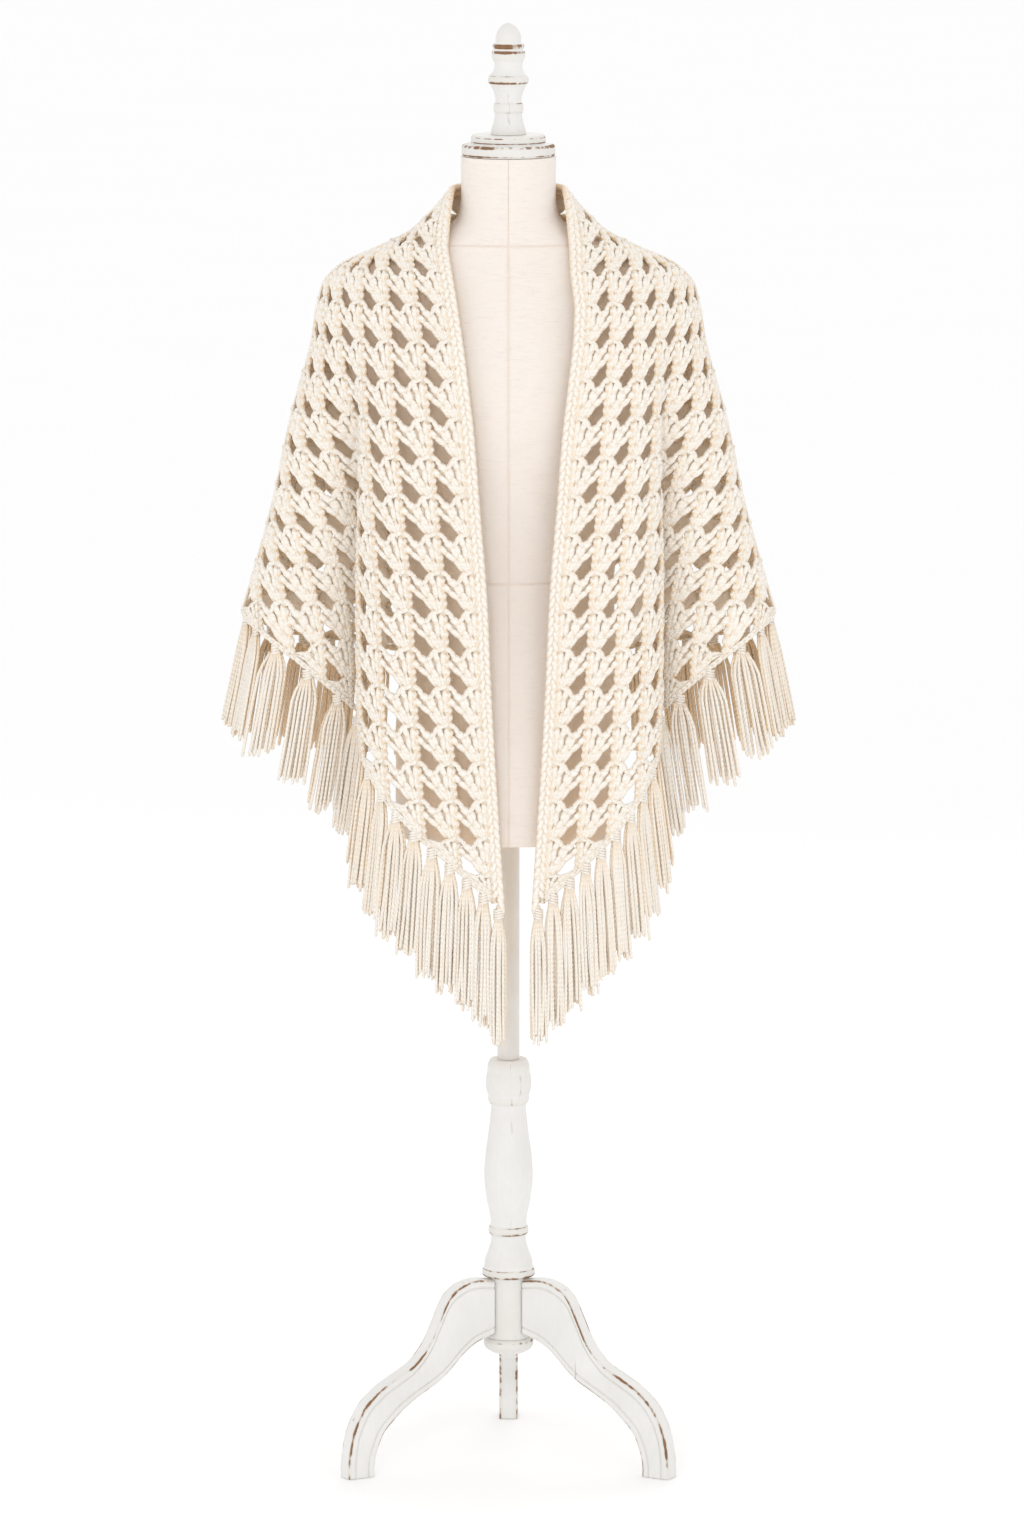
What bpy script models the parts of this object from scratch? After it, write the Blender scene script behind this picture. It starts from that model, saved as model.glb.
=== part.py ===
"""Crochet lace shawl with a fringe, draped over a limbless dress form on a tripod stand.

Metres, +Z up, the front faces -Y, and the wearer's left side is at +X. The floor is z = 0.
The shawl is worked out on one half, as level sections from the front edge round the wing
to the centre back, and the other half mirrors it.
"""
import math
from collections import namedtuple
from functools import lru_cache

import bmesh
import bpy
import numpy as np
from mathutils import Vector

MM = 0.001

# Placing: the pole stands a little forward, so the object's box is centred on the origin
AXIS_Y = -42.6 * MM

# Sizes of the lace
COLUMN_PITCH = 35.0 * MM       # width of one column of shells where the cloth hangs free
SHOULDER_PITCH = 30.0 * MM     # the same where the cloth is drawn together on the shoulder
PITCH_FREE_Z = 1.18            # below this height the columns have their full width
PITCH_DRAWN_Z = 1.33
ROW_PITCH = 43.0 * MM          # height of one row of shells
BACK_PITCH = 43.0 * MM         # spacing of the lace across the back
WALL_IN = 2.5 * MM             # wall on the inner side of the cloth's middle
SHELL_OUT = 3.9 * MM           # wall on the outer side where a shell is thickest
RIM_OUT = 1.9 * MM             # wall on the outer side at the rim of a gap
GAP_SIDE = 0.25                # rim of a gap, from the column line, as a share of the cell
GAP_END = 0.17                 # rim of a gap, from the row line
GAP_LEVEL = 0.46               # height of the gap's widest place in the cell
SMALLEST_CELL = 0.00086        # a cell with less area than this has no gap, in square metres
LEAST_ROOM = 0.38              # share of a pitch below which a row or column ends
BAND_WIDTH = 14.0 * MM
HALF_SEAM = 0.17 * MM          # each piece keeps this far from a seam line
BAND_SEAM = 0.45 * MM          # the band keeps this far from the seam on its curved stretch
NECK_Z = 1.441                 # top of the lace, below the neck band
PANEL_COLUMNS = 4              # columns from the band to the fold in front of the arm
OPENING_SHIFT = 11.0 * MM      # the front opening lies this far towards the wearer's left
SHIFT_FADE = (0.06, 0.20)      # the shift fades out between these distances from the middle
SHIFT_TOP = (1.30, 1.40)       # and between these heights
FRONT_DEPTH = 0.06             # cloth this far before the pole's axis belongs to the front

# Folds of the back, which grow towards the hem
BACK_FOLD_PITCH = 0.118
BACK_FOLD_DEPTH = 0.013
BACK_FOLD_TOP = 1.27
BACK_FOLD_LOW = 0.93
BACK_FOLD_START = 0.06         # the folds have their full depth this far behind the wing's side

# Fringe
TASSEL_PITCH = 31.0 * MM
STRIP_GAP = 0.6 * MM
STEEPEST = 3.0                 # most that a steep hem widens the strip's upright gap
STRIP_DEPTH = 8.0 * MM
STRIP_OUT = 4.2 * MM
STRIP_IN = 3.4 * MM
LOCK_HALF = 3.8 * MM
LOCK_SWAY = 0.015
LOCK_BEND = 0.35               # share of a lock's length at which it bends
LOCK_TAPER = 0.75              # thickness of a lock's end as a share of the rest
SPREAD_WING = 0.20
SPREAD_FRONT = 0.04
SPREAD_BACK = 0.06
LENGTH_WING = 112.0 * MM
LENGTH_FRONT = 136.0 * MM
LENGTH_BACK = 116.0 * MM

# Level sections of the cloth's middle surface, in millimetres. The named columns run from the
# front edge over the panel and its fold to the wing's side, then round the back.
Section = namedtuple(
    "Section",
    "z edge panel crest turn valley wing outer side rear blade back centre",
)
SECTIONS = [
    Section(1455, (59, -12), (60, -10), (61, -8), (61, -6), (61, -4), (61, -2), (61, 0),
            (61, 3), (57, 20), (46, 36), (26, 50), (0, 55.6)),
    Section(1441, (61, -22), (64, -19), (66, -16), (68, -12), (69, -8), (70, -4), (71, 0),
            (71, 4), (66, 23), (51, 41), (28, 54), (0, 60)),
    Section(1420, (65, -35), (71, -31), (76, -27), (81, -22), (85, -16), (88, -10), (89, -4),
            (90, 3), (84, 26), (65, 46), (36, 60), (0, 67)),
    Section(1402, (68, -47), (78, -42), (87, -36), (95, -29), (101, -22), (106, -14), (109, -5),
            (111, 3), (102, 30), (78, 53), (43, 69), (0, 76)),
    Section(1385, (67, -60), (85, -56), (100, -51), (114, -43), (126, -34), (135, -22),
            (142, -9), (145, 4), (131, 36), (99, 63), (53, 80), (0, 87)),
    Section(1371, (66, -70), (91, -67), (110, -62), (129, -55), (147, -44), (162, -29),
            (173, -12), (177, 5), (160, 44), (119, 74), (63, 91), (0, 97)),
    Section(1351, (65, -82), (97, -81), (121, -77), (144, -69), (165, -56), (184, -38),
            (196, -17), (202, 4), (186, 48), (140, 84), (75, 102), (0, 108)),
    Section(1328, (65, -92), (101, -93), (128, -90), (153, -81), (176, -66), (196, -45),
            (205, -22), (210, 2), (196, 50), (151, 90), (81, 110), (0, 116)),
    Section(1280, (60, -107), (101, -110), (132, -106), (158, -93), (178, -74), (199, -54),
            (212, -29), (219, 0), (206, 53), (160, 97), (85, 118), (0, 124)),
    Section(1200, (50, -118), (96, -122), (134, -115), (162, -91), (168, -66), (197, -61),
            (227, -39), (241, 0), (225, 58), (171, 102), (89, 121), (0, 125)),
    Section(1100, (42, -121), (91, -125), (138, -114), (166, -82), (165, -48), (201, -59),
            (243, -45), (263, 0), (243, 62), (181, 103), (91, 117), (0, 118)),
    Section(1000, (34, -120), (86, -125), (138, -113), (168, -77), (164, -33), (206, -55),
            (261, -49), (291, 0), (265, 64), (193, 103), (95, 115), (0, 114)),
    Section(950, (32, -119), (83, -124), (138, -112), (168, -76), (163, -28), (207, -53),
            (271, -49), (306, 0), (277, 64), (199, 103), (97, 114), (0, 113)),
    Section(860, (28, -116), (79, -122), (136, -111), (167, -76), (162, -29), (207, -51),
            (271, -49), (309, 0), (279, 64), (200, 103), (97, 114), (0, 113)),
    Section(760, (22, -111), (73, -118), (131, -109), (161, -77), (158, -33), (204, -52),
            (270, -49), (309, 0), (279, 64), (200, 103), (97, 114), (0, 113)),
    Section(600, (12, -104), (62, -111), (118, -105), (150, -77), (150, -36), (198, -52),
            (266, -49), (309, 0), (279, 64), (200, 103), (97, 114), (0, 113)),
]
SIDE_KEY = Section._fields.index("side") - 1

# Height of the hem, in millimetres, by the distance over the cloth from the front edge
HemPoint = namedtuple("HemPoint", "from_edge z")
FRONT_HEM = [
    HemPoint(0, 646), HemPoint(18, 670), HemPoint(46, 697), HemPoint(78, 727),
    HemPoint(105, 758), HemPoint(128, 786), HemPoint(150, 816), HemPoint(165, 838),
    HemPoint(200, 860), HemPoint(225, 875), HemPoint(245, 892), HemPoint(271, 914),
    HemPoint(308, 946), HemPoint(335, 965), HemPoint(372, 979),
]
WING_TIP_Z = 0.979

# Height of the back hem by its share of the way from the centre back to the wing tip
BackHem = namedtuple("BackHem", "share z")
BACK_HEM = [BackHem(0.0, 908), BackHem(0.35, 917), BackHem(0.7, 940), BackHem(1.0, 979)]

# Torso of the form: height, half width, depth in front and behind, in millimetres
Ring = namedtuple("Ring", "z half_width front back")
TORSO = [
    Ring(723.0, 125, 96, 98), Ring(728.0, 127, 98, 100), Ring(790, 127, 98, 101),
    Ring(860, 125, 96, 98), Ring(940, 121, 91, 88), Ring(1020, 119, 88, 80),
    Ring(1100, 132, 96, 86), Ring(1160, 149, 104, 95), Ring(1215, 166, 106, 103),
    Ring(1270, 184, 98, 106), Ring(1312, 196, 84, 101), Ring(1342, 192, 73, 92),
    Ring(1365, 173, 65, 83), Ring(1379.4, 142, 59, 73), Ring(1393, 106, 56, 65),
    Ring(1405, 76, 54, 58), Ring(1417, 60, 53, 55), Ring(1431, 54, 52.5, 53),
    Ring(1455, 52.5, 52, 52.4), Ring(1488.6, 53, 52, 52),
]
TORSO_SIDES = 26

# Turned pieces: radius and height, in millimetres, from the bottom up
Turn = namedtuple("Turn", "radius z")
NECK_CAP = [
    Turn(50.5, 1489), Turn(52.3, 1491), Turn(52.3, 1500), Turn(50.0, 1502.5), Turn(41.0, 1503.5),
    Turn(41.7, 1505), Turn(41.7, 1510.5), Turn(40.0, 1513),
]
FINIAL = [
    Turn(19.6, 1513.3), Turn(19.4, 1518), Turn(16.2, 1527), Turn(15.0, 1536), Turn(16.6, 1539),
    Turn(16.6, 1547), Turn(14.2, 1550), Turn(15.4, 1558), Turn(20.0, 1568.5), Turn(22.8, 1571),
    Turn(22.8, 1577), Turn(18.5, 1581), Turn(15.2, 1587), Turn(15.6, 1593), Turn(18.8, 1599),
    Turn(18.8, 1605), Turn(15.8, 1607.5), Turn(17.7, 1610), Turn(17.7, 1613), Turn(14.2, 1615),
    Turn(14.4, 1622), Turn(11.6, 1630), Turn(6.0, 1635.5),
]
FINIAL_TOP = 1637.5
POLE = [Turn(12.5, 463.3), Turn(12.5, 722.7)]
COLUMN = [
    Turn(24.0, 140.3), Turn(24.0, 210), Turn(28.5, 211.5), Turn(30.2, 214), Turn(30.2, 219),
    Turn(27.4, 222.5), Turn(27.4, 229), Turn(23.5, 240), Turn(19.6, 252), Turn(19.6, 259),
    Turn(22.8, 262), Turn(22.8, 268), Turn(20.2, 271.5), Turn(20.8, 281), Turn(25.2, 300),
    Turn(28.2, 325), Turn(26.8, 350), Turn(22.2, 382), Turn(19.4, 410), Turn(23.4, 414),
    Turn(23.4, 422), Turn(25.0, 426), Turn(26.3, 435), Turn(25.0, 445), Turn(24.0, 449),
    Turn(24.0, 457), Turn(20.5, 463),
]
KNOB = [Turn(9.0, 120), Turn(19.0, 122.5), Turn(27.0, 128), Turn(28.8, 133), Turn(27.5, 138),
        Turn(23.5, 140)]
TURNED_SIDES = 18

# One leg in its own upright plane: distance from the pole and height of both edges
Leg = namedtuple("Leg", "top_r top_z low_r low_z")
LEG = [
    Leg(24.4, 209.5, 24.4, 146), Leg(47.2, 212, 47.2, 139), Leg(66.4, 207, 64.5, 127.5),
    Leg(81.9, 195, 80.9, 112), Leg(94.6, 171, 95.5, 100), Leg(107.4, 145, 112, 91),
    Leg(126.5, 124, 128.4, 82), Leg(150.3, 111, 143, 72), Leg(172.1, 99, 156.6, 60),
    Leg(193.1, 80, 168.5, 47), Leg(207.7, 52, 176.7, 28), Leg(213.6, 22, 179.9, 12),
    Leg(214.5, 0, 179.9, 0),
]
LEG_THICKNESS = 22.0 * MM
LEG_BEVEL = 3.0 * MM
LEG_ANGLES = {"leg_front_left": -30.0, "leg_front_right": -150.0, "leg_rear": 90.0}


def clear_scene():
    for thing in list(bpy.context.scene.objects):
        bpy.data.objects.remove(thing, do_unlink=True)


def finish(name, color, roughness):
    material = bpy.data.materials.new(name)
    material.use_nodes = True
    shader = material.node_tree.nodes["Principled BSDF"]
    shader.inputs["Base Color"].default_value = (*color, 1.0)
    shader.inputs["Roughness"].default_value = roughness
    shader.inputs["Metallic"].default_value = 0.0
    return material


def add_object(name, points, faces, material, smooth=True):
    """One closed body, set on the pole's axis, with its faces turned outwards."""
    mesh = bpy.data.meshes.new(name)
    mesh.from_pydata([tuple(p) for p in points], [], faces)
    body = bmesh.new()
    body.from_mesh(mesh)
    bmesh.ops.triangulate(body, faces=body.faces[:])
    bmesh.ops.recalc_face_normals(body, faces=body.faces[:])
    body.to_mesh(mesh)
    body.free()
    if smooth:
        mesh.shade_smooth()
        mesh.set_sharp_from_angle(angle=math.radians(40))
    mesh.materials.append(material)
    thing = bpy.data.objects.new(name, mesh)
    thing.location = (0.0, AXIS_Y, 0.0)
    bpy.context.scene.collection.objects.link(thing)
    return thing


# Sections of the cloth
SECTION_Z = np.array([row.z for row in reversed(SECTIONS)]) * MM
SECTION_XY = np.array([row[1:] for row in reversed(SECTIONS)], dtype=float) * MM
SECTION_SLOPE = np.gradient(SECTION_XY, SECTION_Z, axis=0)
STEPS_PER_SPAN = 8


def key_points(z):
    """The named points of the level section at a height, by a cubic between the rows."""
    z = min(max(z, SECTION_Z[0]), SECTION_Z[-1])
    row = min(int(np.searchsorted(SECTION_Z, z, side="right")) - 1, len(SECTION_Z) - 2)
    span = SECTION_Z[row + 1] - SECTION_Z[row]
    t = (z - SECTION_Z[row]) / span
    return (
        (2 * t**3 - 3 * t**2 + 1) * SECTION_XY[row]
        + (t**3 - 2 * t**2 + t) * span * SECTION_SLOPE[row]
        + (3 * t**2 - 2 * t**3) * SECTION_XY[row + 1]
        + (t**3 - t**2) * span * SECTION_SLOPE[row + 1]
    )


@lru_cache(maxsize=4096)
def section(z):
    """Points of the section, their distance from the front edge, and that of the side."""
    keys = key_points(z)
    first = 2 * keys[0] - keys[1]
    last = np.array((-keys[-2][0], keys[-2][1]))
    around = np.vstack([first, keys, last])
    points = []
    for span in range(len(keys) - 1):
        p0, p1, p2, p3 = around[span:span + 4]
        for step in range(STEPS_PER_SPAN):
            t = step / STEPS_PER_SPAN
            points.append(
                0.5 * (2 * p1 + (p2 - p0) * t + (2 * p0 - 5 * p1 + 4 * p2 - p3) * t**2
                       + (3 * p1 - p0 - 3 * p2 + p3) * t**3)
            )
    points.append(keys[-1])
    points = np.array(points)
    steps = np.linalg.norm(np.diff(points, axis=0), axis=1)
    distance = np.concatenate([[0.0], np.cumsum(steps)])
    return points, distance, distance[SIDE_KEY * STEPS_PER_SPAN]


def side_distance(z):
    return section(round(z, 7))[2]


def whole_distance(z):
    return section(round(z, 7))[1][-1]


def smooth_step(low, high, value):
    t = min(max((value - low) / (high - low), 0.0), 1.0)
    return t * t * (3 - 2 * t)


def cloth_point(z, distance, side=0):
    """A point on the cloth's middle surface, by height and distance from the front edge.

    With a side of 1 or -1 the front opening lies a little off the middle, as it is worn.
    """
    points, along, side_at = section(round(z, 7))
    x = float(np.interp(distance, along, points[:, 0]))
    y = float(np.interp(distance, along, points[:, 1]))
    from_centre = along[-1] - distance
    if distance > side_at:
        depth = BACK_FOLD_DEPTH * (1.0 - smooth_step(BACK_FOLD_LOW, BACK_FOLD_TOP, z))
        fade = smooth_step(0.0, BACK_FOLD_START, distance - side_at)
        y += depth * fade * (0.5 - 0.5 * math.cos(math.tau * from_centre / BACK_FOLD_PITCH))
    in_front = smooth_step(0.0, FRONT_DEPTH, -y)
    near = 1.0 - smooth_step(*SHIFT_FADE, x)
    below = 1.0 - smooth_step(*SHIFT_TOP, z)
    x += side * OPENING_SHIFT * in_front * near * below
    return Vector((x, y, z))


def cloth_normal(z, distance):
    """The way out of the cloth, level along the neck so that the band sits flat on it."""
    step = 2.5 * MM
    high = min(z + step, SECTION_Z[-1])
    low = max(z - step, SECTION_Z[0])
    across = cloth_point(z, distance + step) - cloth_point(z, max(distance - step, 0.0))
    if distance + step > whole_distance(z):
        across = Vector((-1.0, 0.0, 0.0))
    up = cloth_point(high, distance) - cloth_point(low, distance)
    normal = across.cross(up)
    if z >= NECK_Z:
        normal.z = 0.0
    return normal.normalized()


def column_pitch(z):
    drawn = smooth_step(PITCH_FREE_Z, PITCH_DRAWN_Z, z)
    return COLUMN_PITCH + (SHOULDER_PITCH - COLUMN_PITCH) * drawn


def front_column(column, z):
    return BAND_WIDTH + column * column_pitch(z)


def back_column(column, z):
    return whole_distance(z) - column * BACK_PITCH


def row_levels():
    """Heights of the rows, an even distance apart down the middle of the front panel."""
    levels = [NECK_Z]
    z = NECK_Z
    before = cloth_point(z, front_column(1, z))
    walked = 0.0
    step = 1.0 * MM
    while z > SECTION_Z[0] + step:
        z -= step
        after = cloth_point(z, front_column(1, z))
        walked += (after - before).length
        before = after
        if walked >= ROW_PITCH:
            levels.append(z)
            walked -= ROW_PITCH
    return levels


LEVELS = row_levels()


def front_hem_z(distance):
    places = [point.from_edge * MM for point in FRONT_HEM]
    heights = [point.z * MM for point in FRONT_HEM]
    return float(np.interp(distance, places, heights))


def back_hem_z(share):
    places = [point.share for point in BACK_HEM]
    heights = [point.z * MM for point in BACK_HEM]
    return float(np.interp(share, places, heights))


def front_end(column):
    """Height at which a front column meets the hem."""
    z = WING_TIP_Z
    for _ in range(40):
        z = 0.5 * (z + front_hem_z(front_column(column, z)))
    return z


def back_end(column):
    z = WING_TIP_Z
    for _ in range(40):
        reach = whole_distance(z) - side_distance(z)
        z = 0.5 * (z + back_hem_z(min(column * BACK_PITCH / reach, 1.0)))
    return z


class Lace:
    """A net of vertices on the cloth's middle surface, later given its two faces."""

    def __init__(self, side, every_second=False):
        self.side = side
        self.points = []
        self.normals = []
        self.rises = []
        self.faces = []
        self.gaps = 0
        self.every_second = every_second

    def vertex(self, point, normal, rise):
        self.points.append(point)
        self.normals.append(normal)
        self.rises.append(rise)
        return len(self.points) - 1

    def on_cloth(self, z, distance, shift=0.0, rise=SHELL_OUT):
        point = cloth_point(z, distance + shift, self.side)
        return self.vertex(point, cloth_normal(z, distance), rise)

    def on_hem(self, z, distance, shift=0.0):
        """A thinner vertex on the hem, whose wall stands level over the strip below it."""
        corner = self.on_cloth(z, distance, shift, RIM_OUT)
        normal = self.normals[corner]
        self.normals[corner] = Vector((normal.x, normal.y, 0.0)).normalized()
        return corner

    def blend(self, corners, across, down):
        """A rim vertex between the four corners of a cell."""
        shares = (
            (1 - across) * (1 - down), across * (1 - down), across * down, (1 - across) * down,
        )
        point = Vector((0.0, 0.0, 0.0))
        normal = Vector((0.0, 0.0, 0.0))
        for corner, share in zip(corners, shares):
            point += self.points[corner] * share
            normal += self.normals[corner] * share
        return self.vertex(point, normal.normalized(), RIM_OUT)

    def closed_cell(self, corners):
        a, b, c, d = corners
        ring = list(dict.fromkeys((a, d, c, b)))
        if len(ring) < 3:
            return
        self.faces.append((ring[0], ring[1], ring[2]))
        if len(ring) == 4:
            self.faces.append((ring[0], ring[2], ring[3]))

    def area(self, corners):
        a, b, c, d = (self.points[corner] for corner in corners)
        return 0.5 * (c - a).cross(d - b).length

    def cell(self, corners, skipped=False):
        """Corners run upper left, upper right, lower right, lower left, seen from outside."""
        if skipped or len(set(corners)) < 4 or self.area(corners) < SMALLEST_CELL:
            self.closed_cell(corners)
            return
        a, b, c, d = corners
        top = self.blend(corners, 0.5, GAP_END)
        right = self.blend(corners, 1 - GAP_SIDE, GAP_LEVEL)
        bottom = self.blend(corners, 0.5, 1 - GAP_END)
        left = self.blend(corners, GAP_SIDE, GAP_LEVEL)
        self.faces += [
            (b, a, top), (a, left, top), (a, d, left), (d, bottom, left),
            (d, c, bottom), (c, right, bottom), (c, b, right), (b, top, right),
        ]
        self.gaps += 1

    def strip(self, left, right, number=0):
        """Cells between two lines of vertices, each a list from its top down to the hem."""
        shared = min(len(left), len(right)) - 1
        for row in range(shared):
            skipped = self.every_second and (row + number) % 2 == 0
            self.cell((left[row], right[row], right[row + 1], left[row + 1]), skipped)
        for row in range(shared, len(left) - 1):
            self.faces.append((left[row], left[row + 1], right[-1]))
        for row in range(shared, len(right) - 1):
            self.faces.append((right[row], left[-1], right[row + 1]))

    def walls(self):
        """Points and faces of the closed wall, on its own side of the wearer."""
        count = len(self.points)
        outer = [p + n * r for p, n, r in zip(self.points, self.normals, self.rises)]
        inner = [p - n * WALL_IN for p, n in zip(self.points, self.normals)]
        points = [mirrored(p, self.side) for p in outer + inner]
        faces = list(self.faces)
        faces += [tuple(corner + count for corner in reversed(face)) for face in self.faces]
        open_edges = set()
        for face in self.faces:
            for start, end in zip(face, face[1:] + face[:1]):
                if (end, start) in open_edges:
                    open_edges.discard((end, start))
                else:
                    open_edges.add((start, end))
        for start, end in sorted(open_edges):
            faces.append((end, start, start + count, end + count))
        return points, faces


def mirrored(point, side):
    return Vector((side * point.x, point.y, point.z))


def lines(lace, place, end, columns, shift, side_shift):
    """Vertex lines down the cloth. A line above its start runs along the wing's side."""
    side_line = []
    for level in LEVELS:
        if level < WING_TIP_Z + LEAST_ROOM * ROW_PITCH:
            break
        side_line.append(lace.on_cloth(level, side_distance(level), side_shift))
    side_line.append(lace.on_hem(WING_TIP_Z, side_distance(WING_TIP_Z), side_shift))
    found = []
    for column in columns:
        line = []
        bottom = end(column)
        for row, level in enumerate(LEVELS):
            if level < bottom + LEAST_ROOM * ROW_PITCH:
                break
            distance = place(column, level)
            room = (side_distance(level) - distance) * (1 if place is front_column else -1)
            if room < LEAST_ROOM * column_pitch(level):
                line.append(side_line[min(row, len(side_line) - 1)])
            else:
                line.append(lace.on_cloth(level, distance, shift.get(column, 0.0)))
        if line[-1] in side_line:
            break
        line.append(lace.on_hem(bottom, place(column, bottom), shift.get(column, 0.0)))
        found.append(line)
    return found, side_line


def part_at_side(lace, line, side_line):
    """Move the wing's topmost vertex down the side a little, clear of the panel's corner."""
    row = max(number for number, corner in enumerate(line) if corner in side_line)
    level = LEVELS[row] - 4.5 * HALF_SEAM
    lace.points[line[row]] = cloth_point(level, side_distance(level) - HALF_SEAM, lace.side)


def front_lace(side, first, last):
    """Columns of the front, from one line to another, or to the wing's side if last is None."""
    lace = Lace(side)
    stop = 40 if last is None else last + 1
    shift = {first: HALF_SEAM}
    if last is not None:
        shift[last] = -HALF_SEAM
    found, side_line = lines(
        lace, front_column, front_end, range(first, stop), shift, -HALF_SEAM
    )
    if last is None:
        part_at_side(lace, found[0], side_line)
        found.append(side_line)
    for left, right in zip(found, found[1:]):
        lace.strip(left, right)
    return lace, found


def back_lace(side):
    """The back has every second gap of its net, so that the shawl stays within its number."""
    lace = Lace(side, every_second=True)
    found, side_line = lines(
        lace, back_column, back_end, range(0, 40), {0: -HALF_SEAM}, HALF_SEAM
    )
    found.append(side_line)
    for number, (right, left) in enumerate(zip(found, found[1:])):
        lace.strip(left, right, number)
    return lace, found


def used_only(points, faces):
    """Drop the points that no face uses."""
    used = sorted({corner for face in faces for corner in face})
    place = {old: new for new, old in enumerate(used)}
    return [points[old] for old in used], [tuple(place[c] for c in face) for face in faces]


def add_lace(name, lace, material):
    points, faces = lace.walls()
    points, faces = used_only(points, faces)
    return add_object(name, points, faces, material)


# Neck band: its free edge where it turns from the front round the neck, in millimetres
BAND_TURN = [Vector((62.5, -20.0, 1443.0)), Vector((60.5, -9.0, 1452.0))]
NECK_BAND_STEPS = 10
NECK_BAND_TOP = 1.4555
NECK_LACE_Z = NECK_Z + 2.5 * HALF_SEAM


def band_rows(side):
    """Rows of free edge, lace edge and normal, from the front tip to the centre back."""
    inside = BAND_WIDTH - BAND_SEAM
    bottom = front_end(0)
    heights = [z for z in LEVELS[1:] if z >= bottom + LEAST_ROOM * ROW_PITCH] + [bottom]
    rows = []
    for z in reversed(heights):
        laced = cloth_point(z, inside, side)
        normal = cloth_normal(z, BAND_WIDTH)
        free_z = front_hem_z(0.0) if z == bottom else z
        if rows:
            free = cloth_point(0.5 * (z + rows[-1][0].z), 0.0, side)
            rows.append((free, (laced + rows[-1][1]) * 0.5, (normal + rows[-1][2]).normalized()))
        rows.append((cloth_point(free_z, 0.0, side), laced, normal))
    corner = cloth_point(NECK_LACE_Z, inside, side)
    corner_normal = cloth_normal(NECK_Z, BAND_WIDTH)
    halfway = (rows[-1][1] + corner) * 0.5
    rows.append((BAND_TURN[0] * MM, halfway, (rows[-1][2] + corner_normal).normalized()))
    rows.append((BAND_TURN[1] * MM, corner, corner_normal))
    reach = whole_distance(NECK_LACE_Z) - HALF_SEAM - inside
    upper_reach = whole_distance(NECK_BAND_TOP) - HALF_SEAM - inside
    for step in range(1, NECK_BAND_STEPS + 1):
        share = step / NECK_BAND_STEPS
        laced = cloth_point(NECK_LACE_Z, inside + reach * share)
        free = cloth_point(NECK_BAND_TOP, inside + upper_reach * share)
        rows.append((free, laced, cloth_normal(NECK_Z, inside + reach * share)))
    return rows


def add_band(name, side, material):
    lace = Lace(side)
    chains = [[], [], []]
    for number, (free, laced, normal) in enumerate(band_rows(side)):
        bump = SHELL_OUT + (1.0 * MM if number % 2 else 0.0)
        chains[0].append(lace.vertex(free, normal, RIM_OUT))
        chains[1].append(lace.vertex((free + laced) * 0.5, normal, bump))
        chains[2].append(lace.vertex(laced, normal, RIM_OUT))
    for left, right in zip(chains, chains[1:]):
        for row in range(len(left) - 1):
            lace.closed_cell((left[row + 1], right[row + 1], right[row], left[row]))
    points, faces = lace.walls()
    return add_object(name, points, faces, material)


# Shares of one tassel's width along the strip: plain strip and lock by turns
TASSEL_SPANS = [(0.16, False), (0.22, True), (0.09, False), (0.22, True), (0.09, False),
                (0.22, True)]


def lowered(path):
    """The hem let down to the top of the strip, further where the hem is steep."""
    steepness = []
    for (start, _), (end, _) in zip(path, path[1:]):
        run = end - start
        steepness.append(min(run.length / run.xy.length, STEEPEST))
    low = []
    for number, (point, normal) in enumerate(path):
        steep = max(steepness[max(number - 1, 0):number + 1])
        low.append((point - Vector((0.0, 0.0, STRIP_GAP * steep)), normal))
    return low


def hem_samples(path):
    """Points along the hem with the mark of what lies between each and the next."""
    samples = []
    marks = []
    for start, end in zip(path, path[1:]):
        count = max(1, round((end[0] - start[0]).length / TASSEL_PITCH))
        for tassel in range(count):
            share = 0.0
            for width, is_lock in TASSEL_SPANS:
                t = (tassel + share) / count
                samples.append((start[0].lerp(end[0], t), start[1].lerp(end[1], t).normalized()))
                marks.append(is_lock)
                share += width
    samples.append(path[-1])
    return samples, marks


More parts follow.
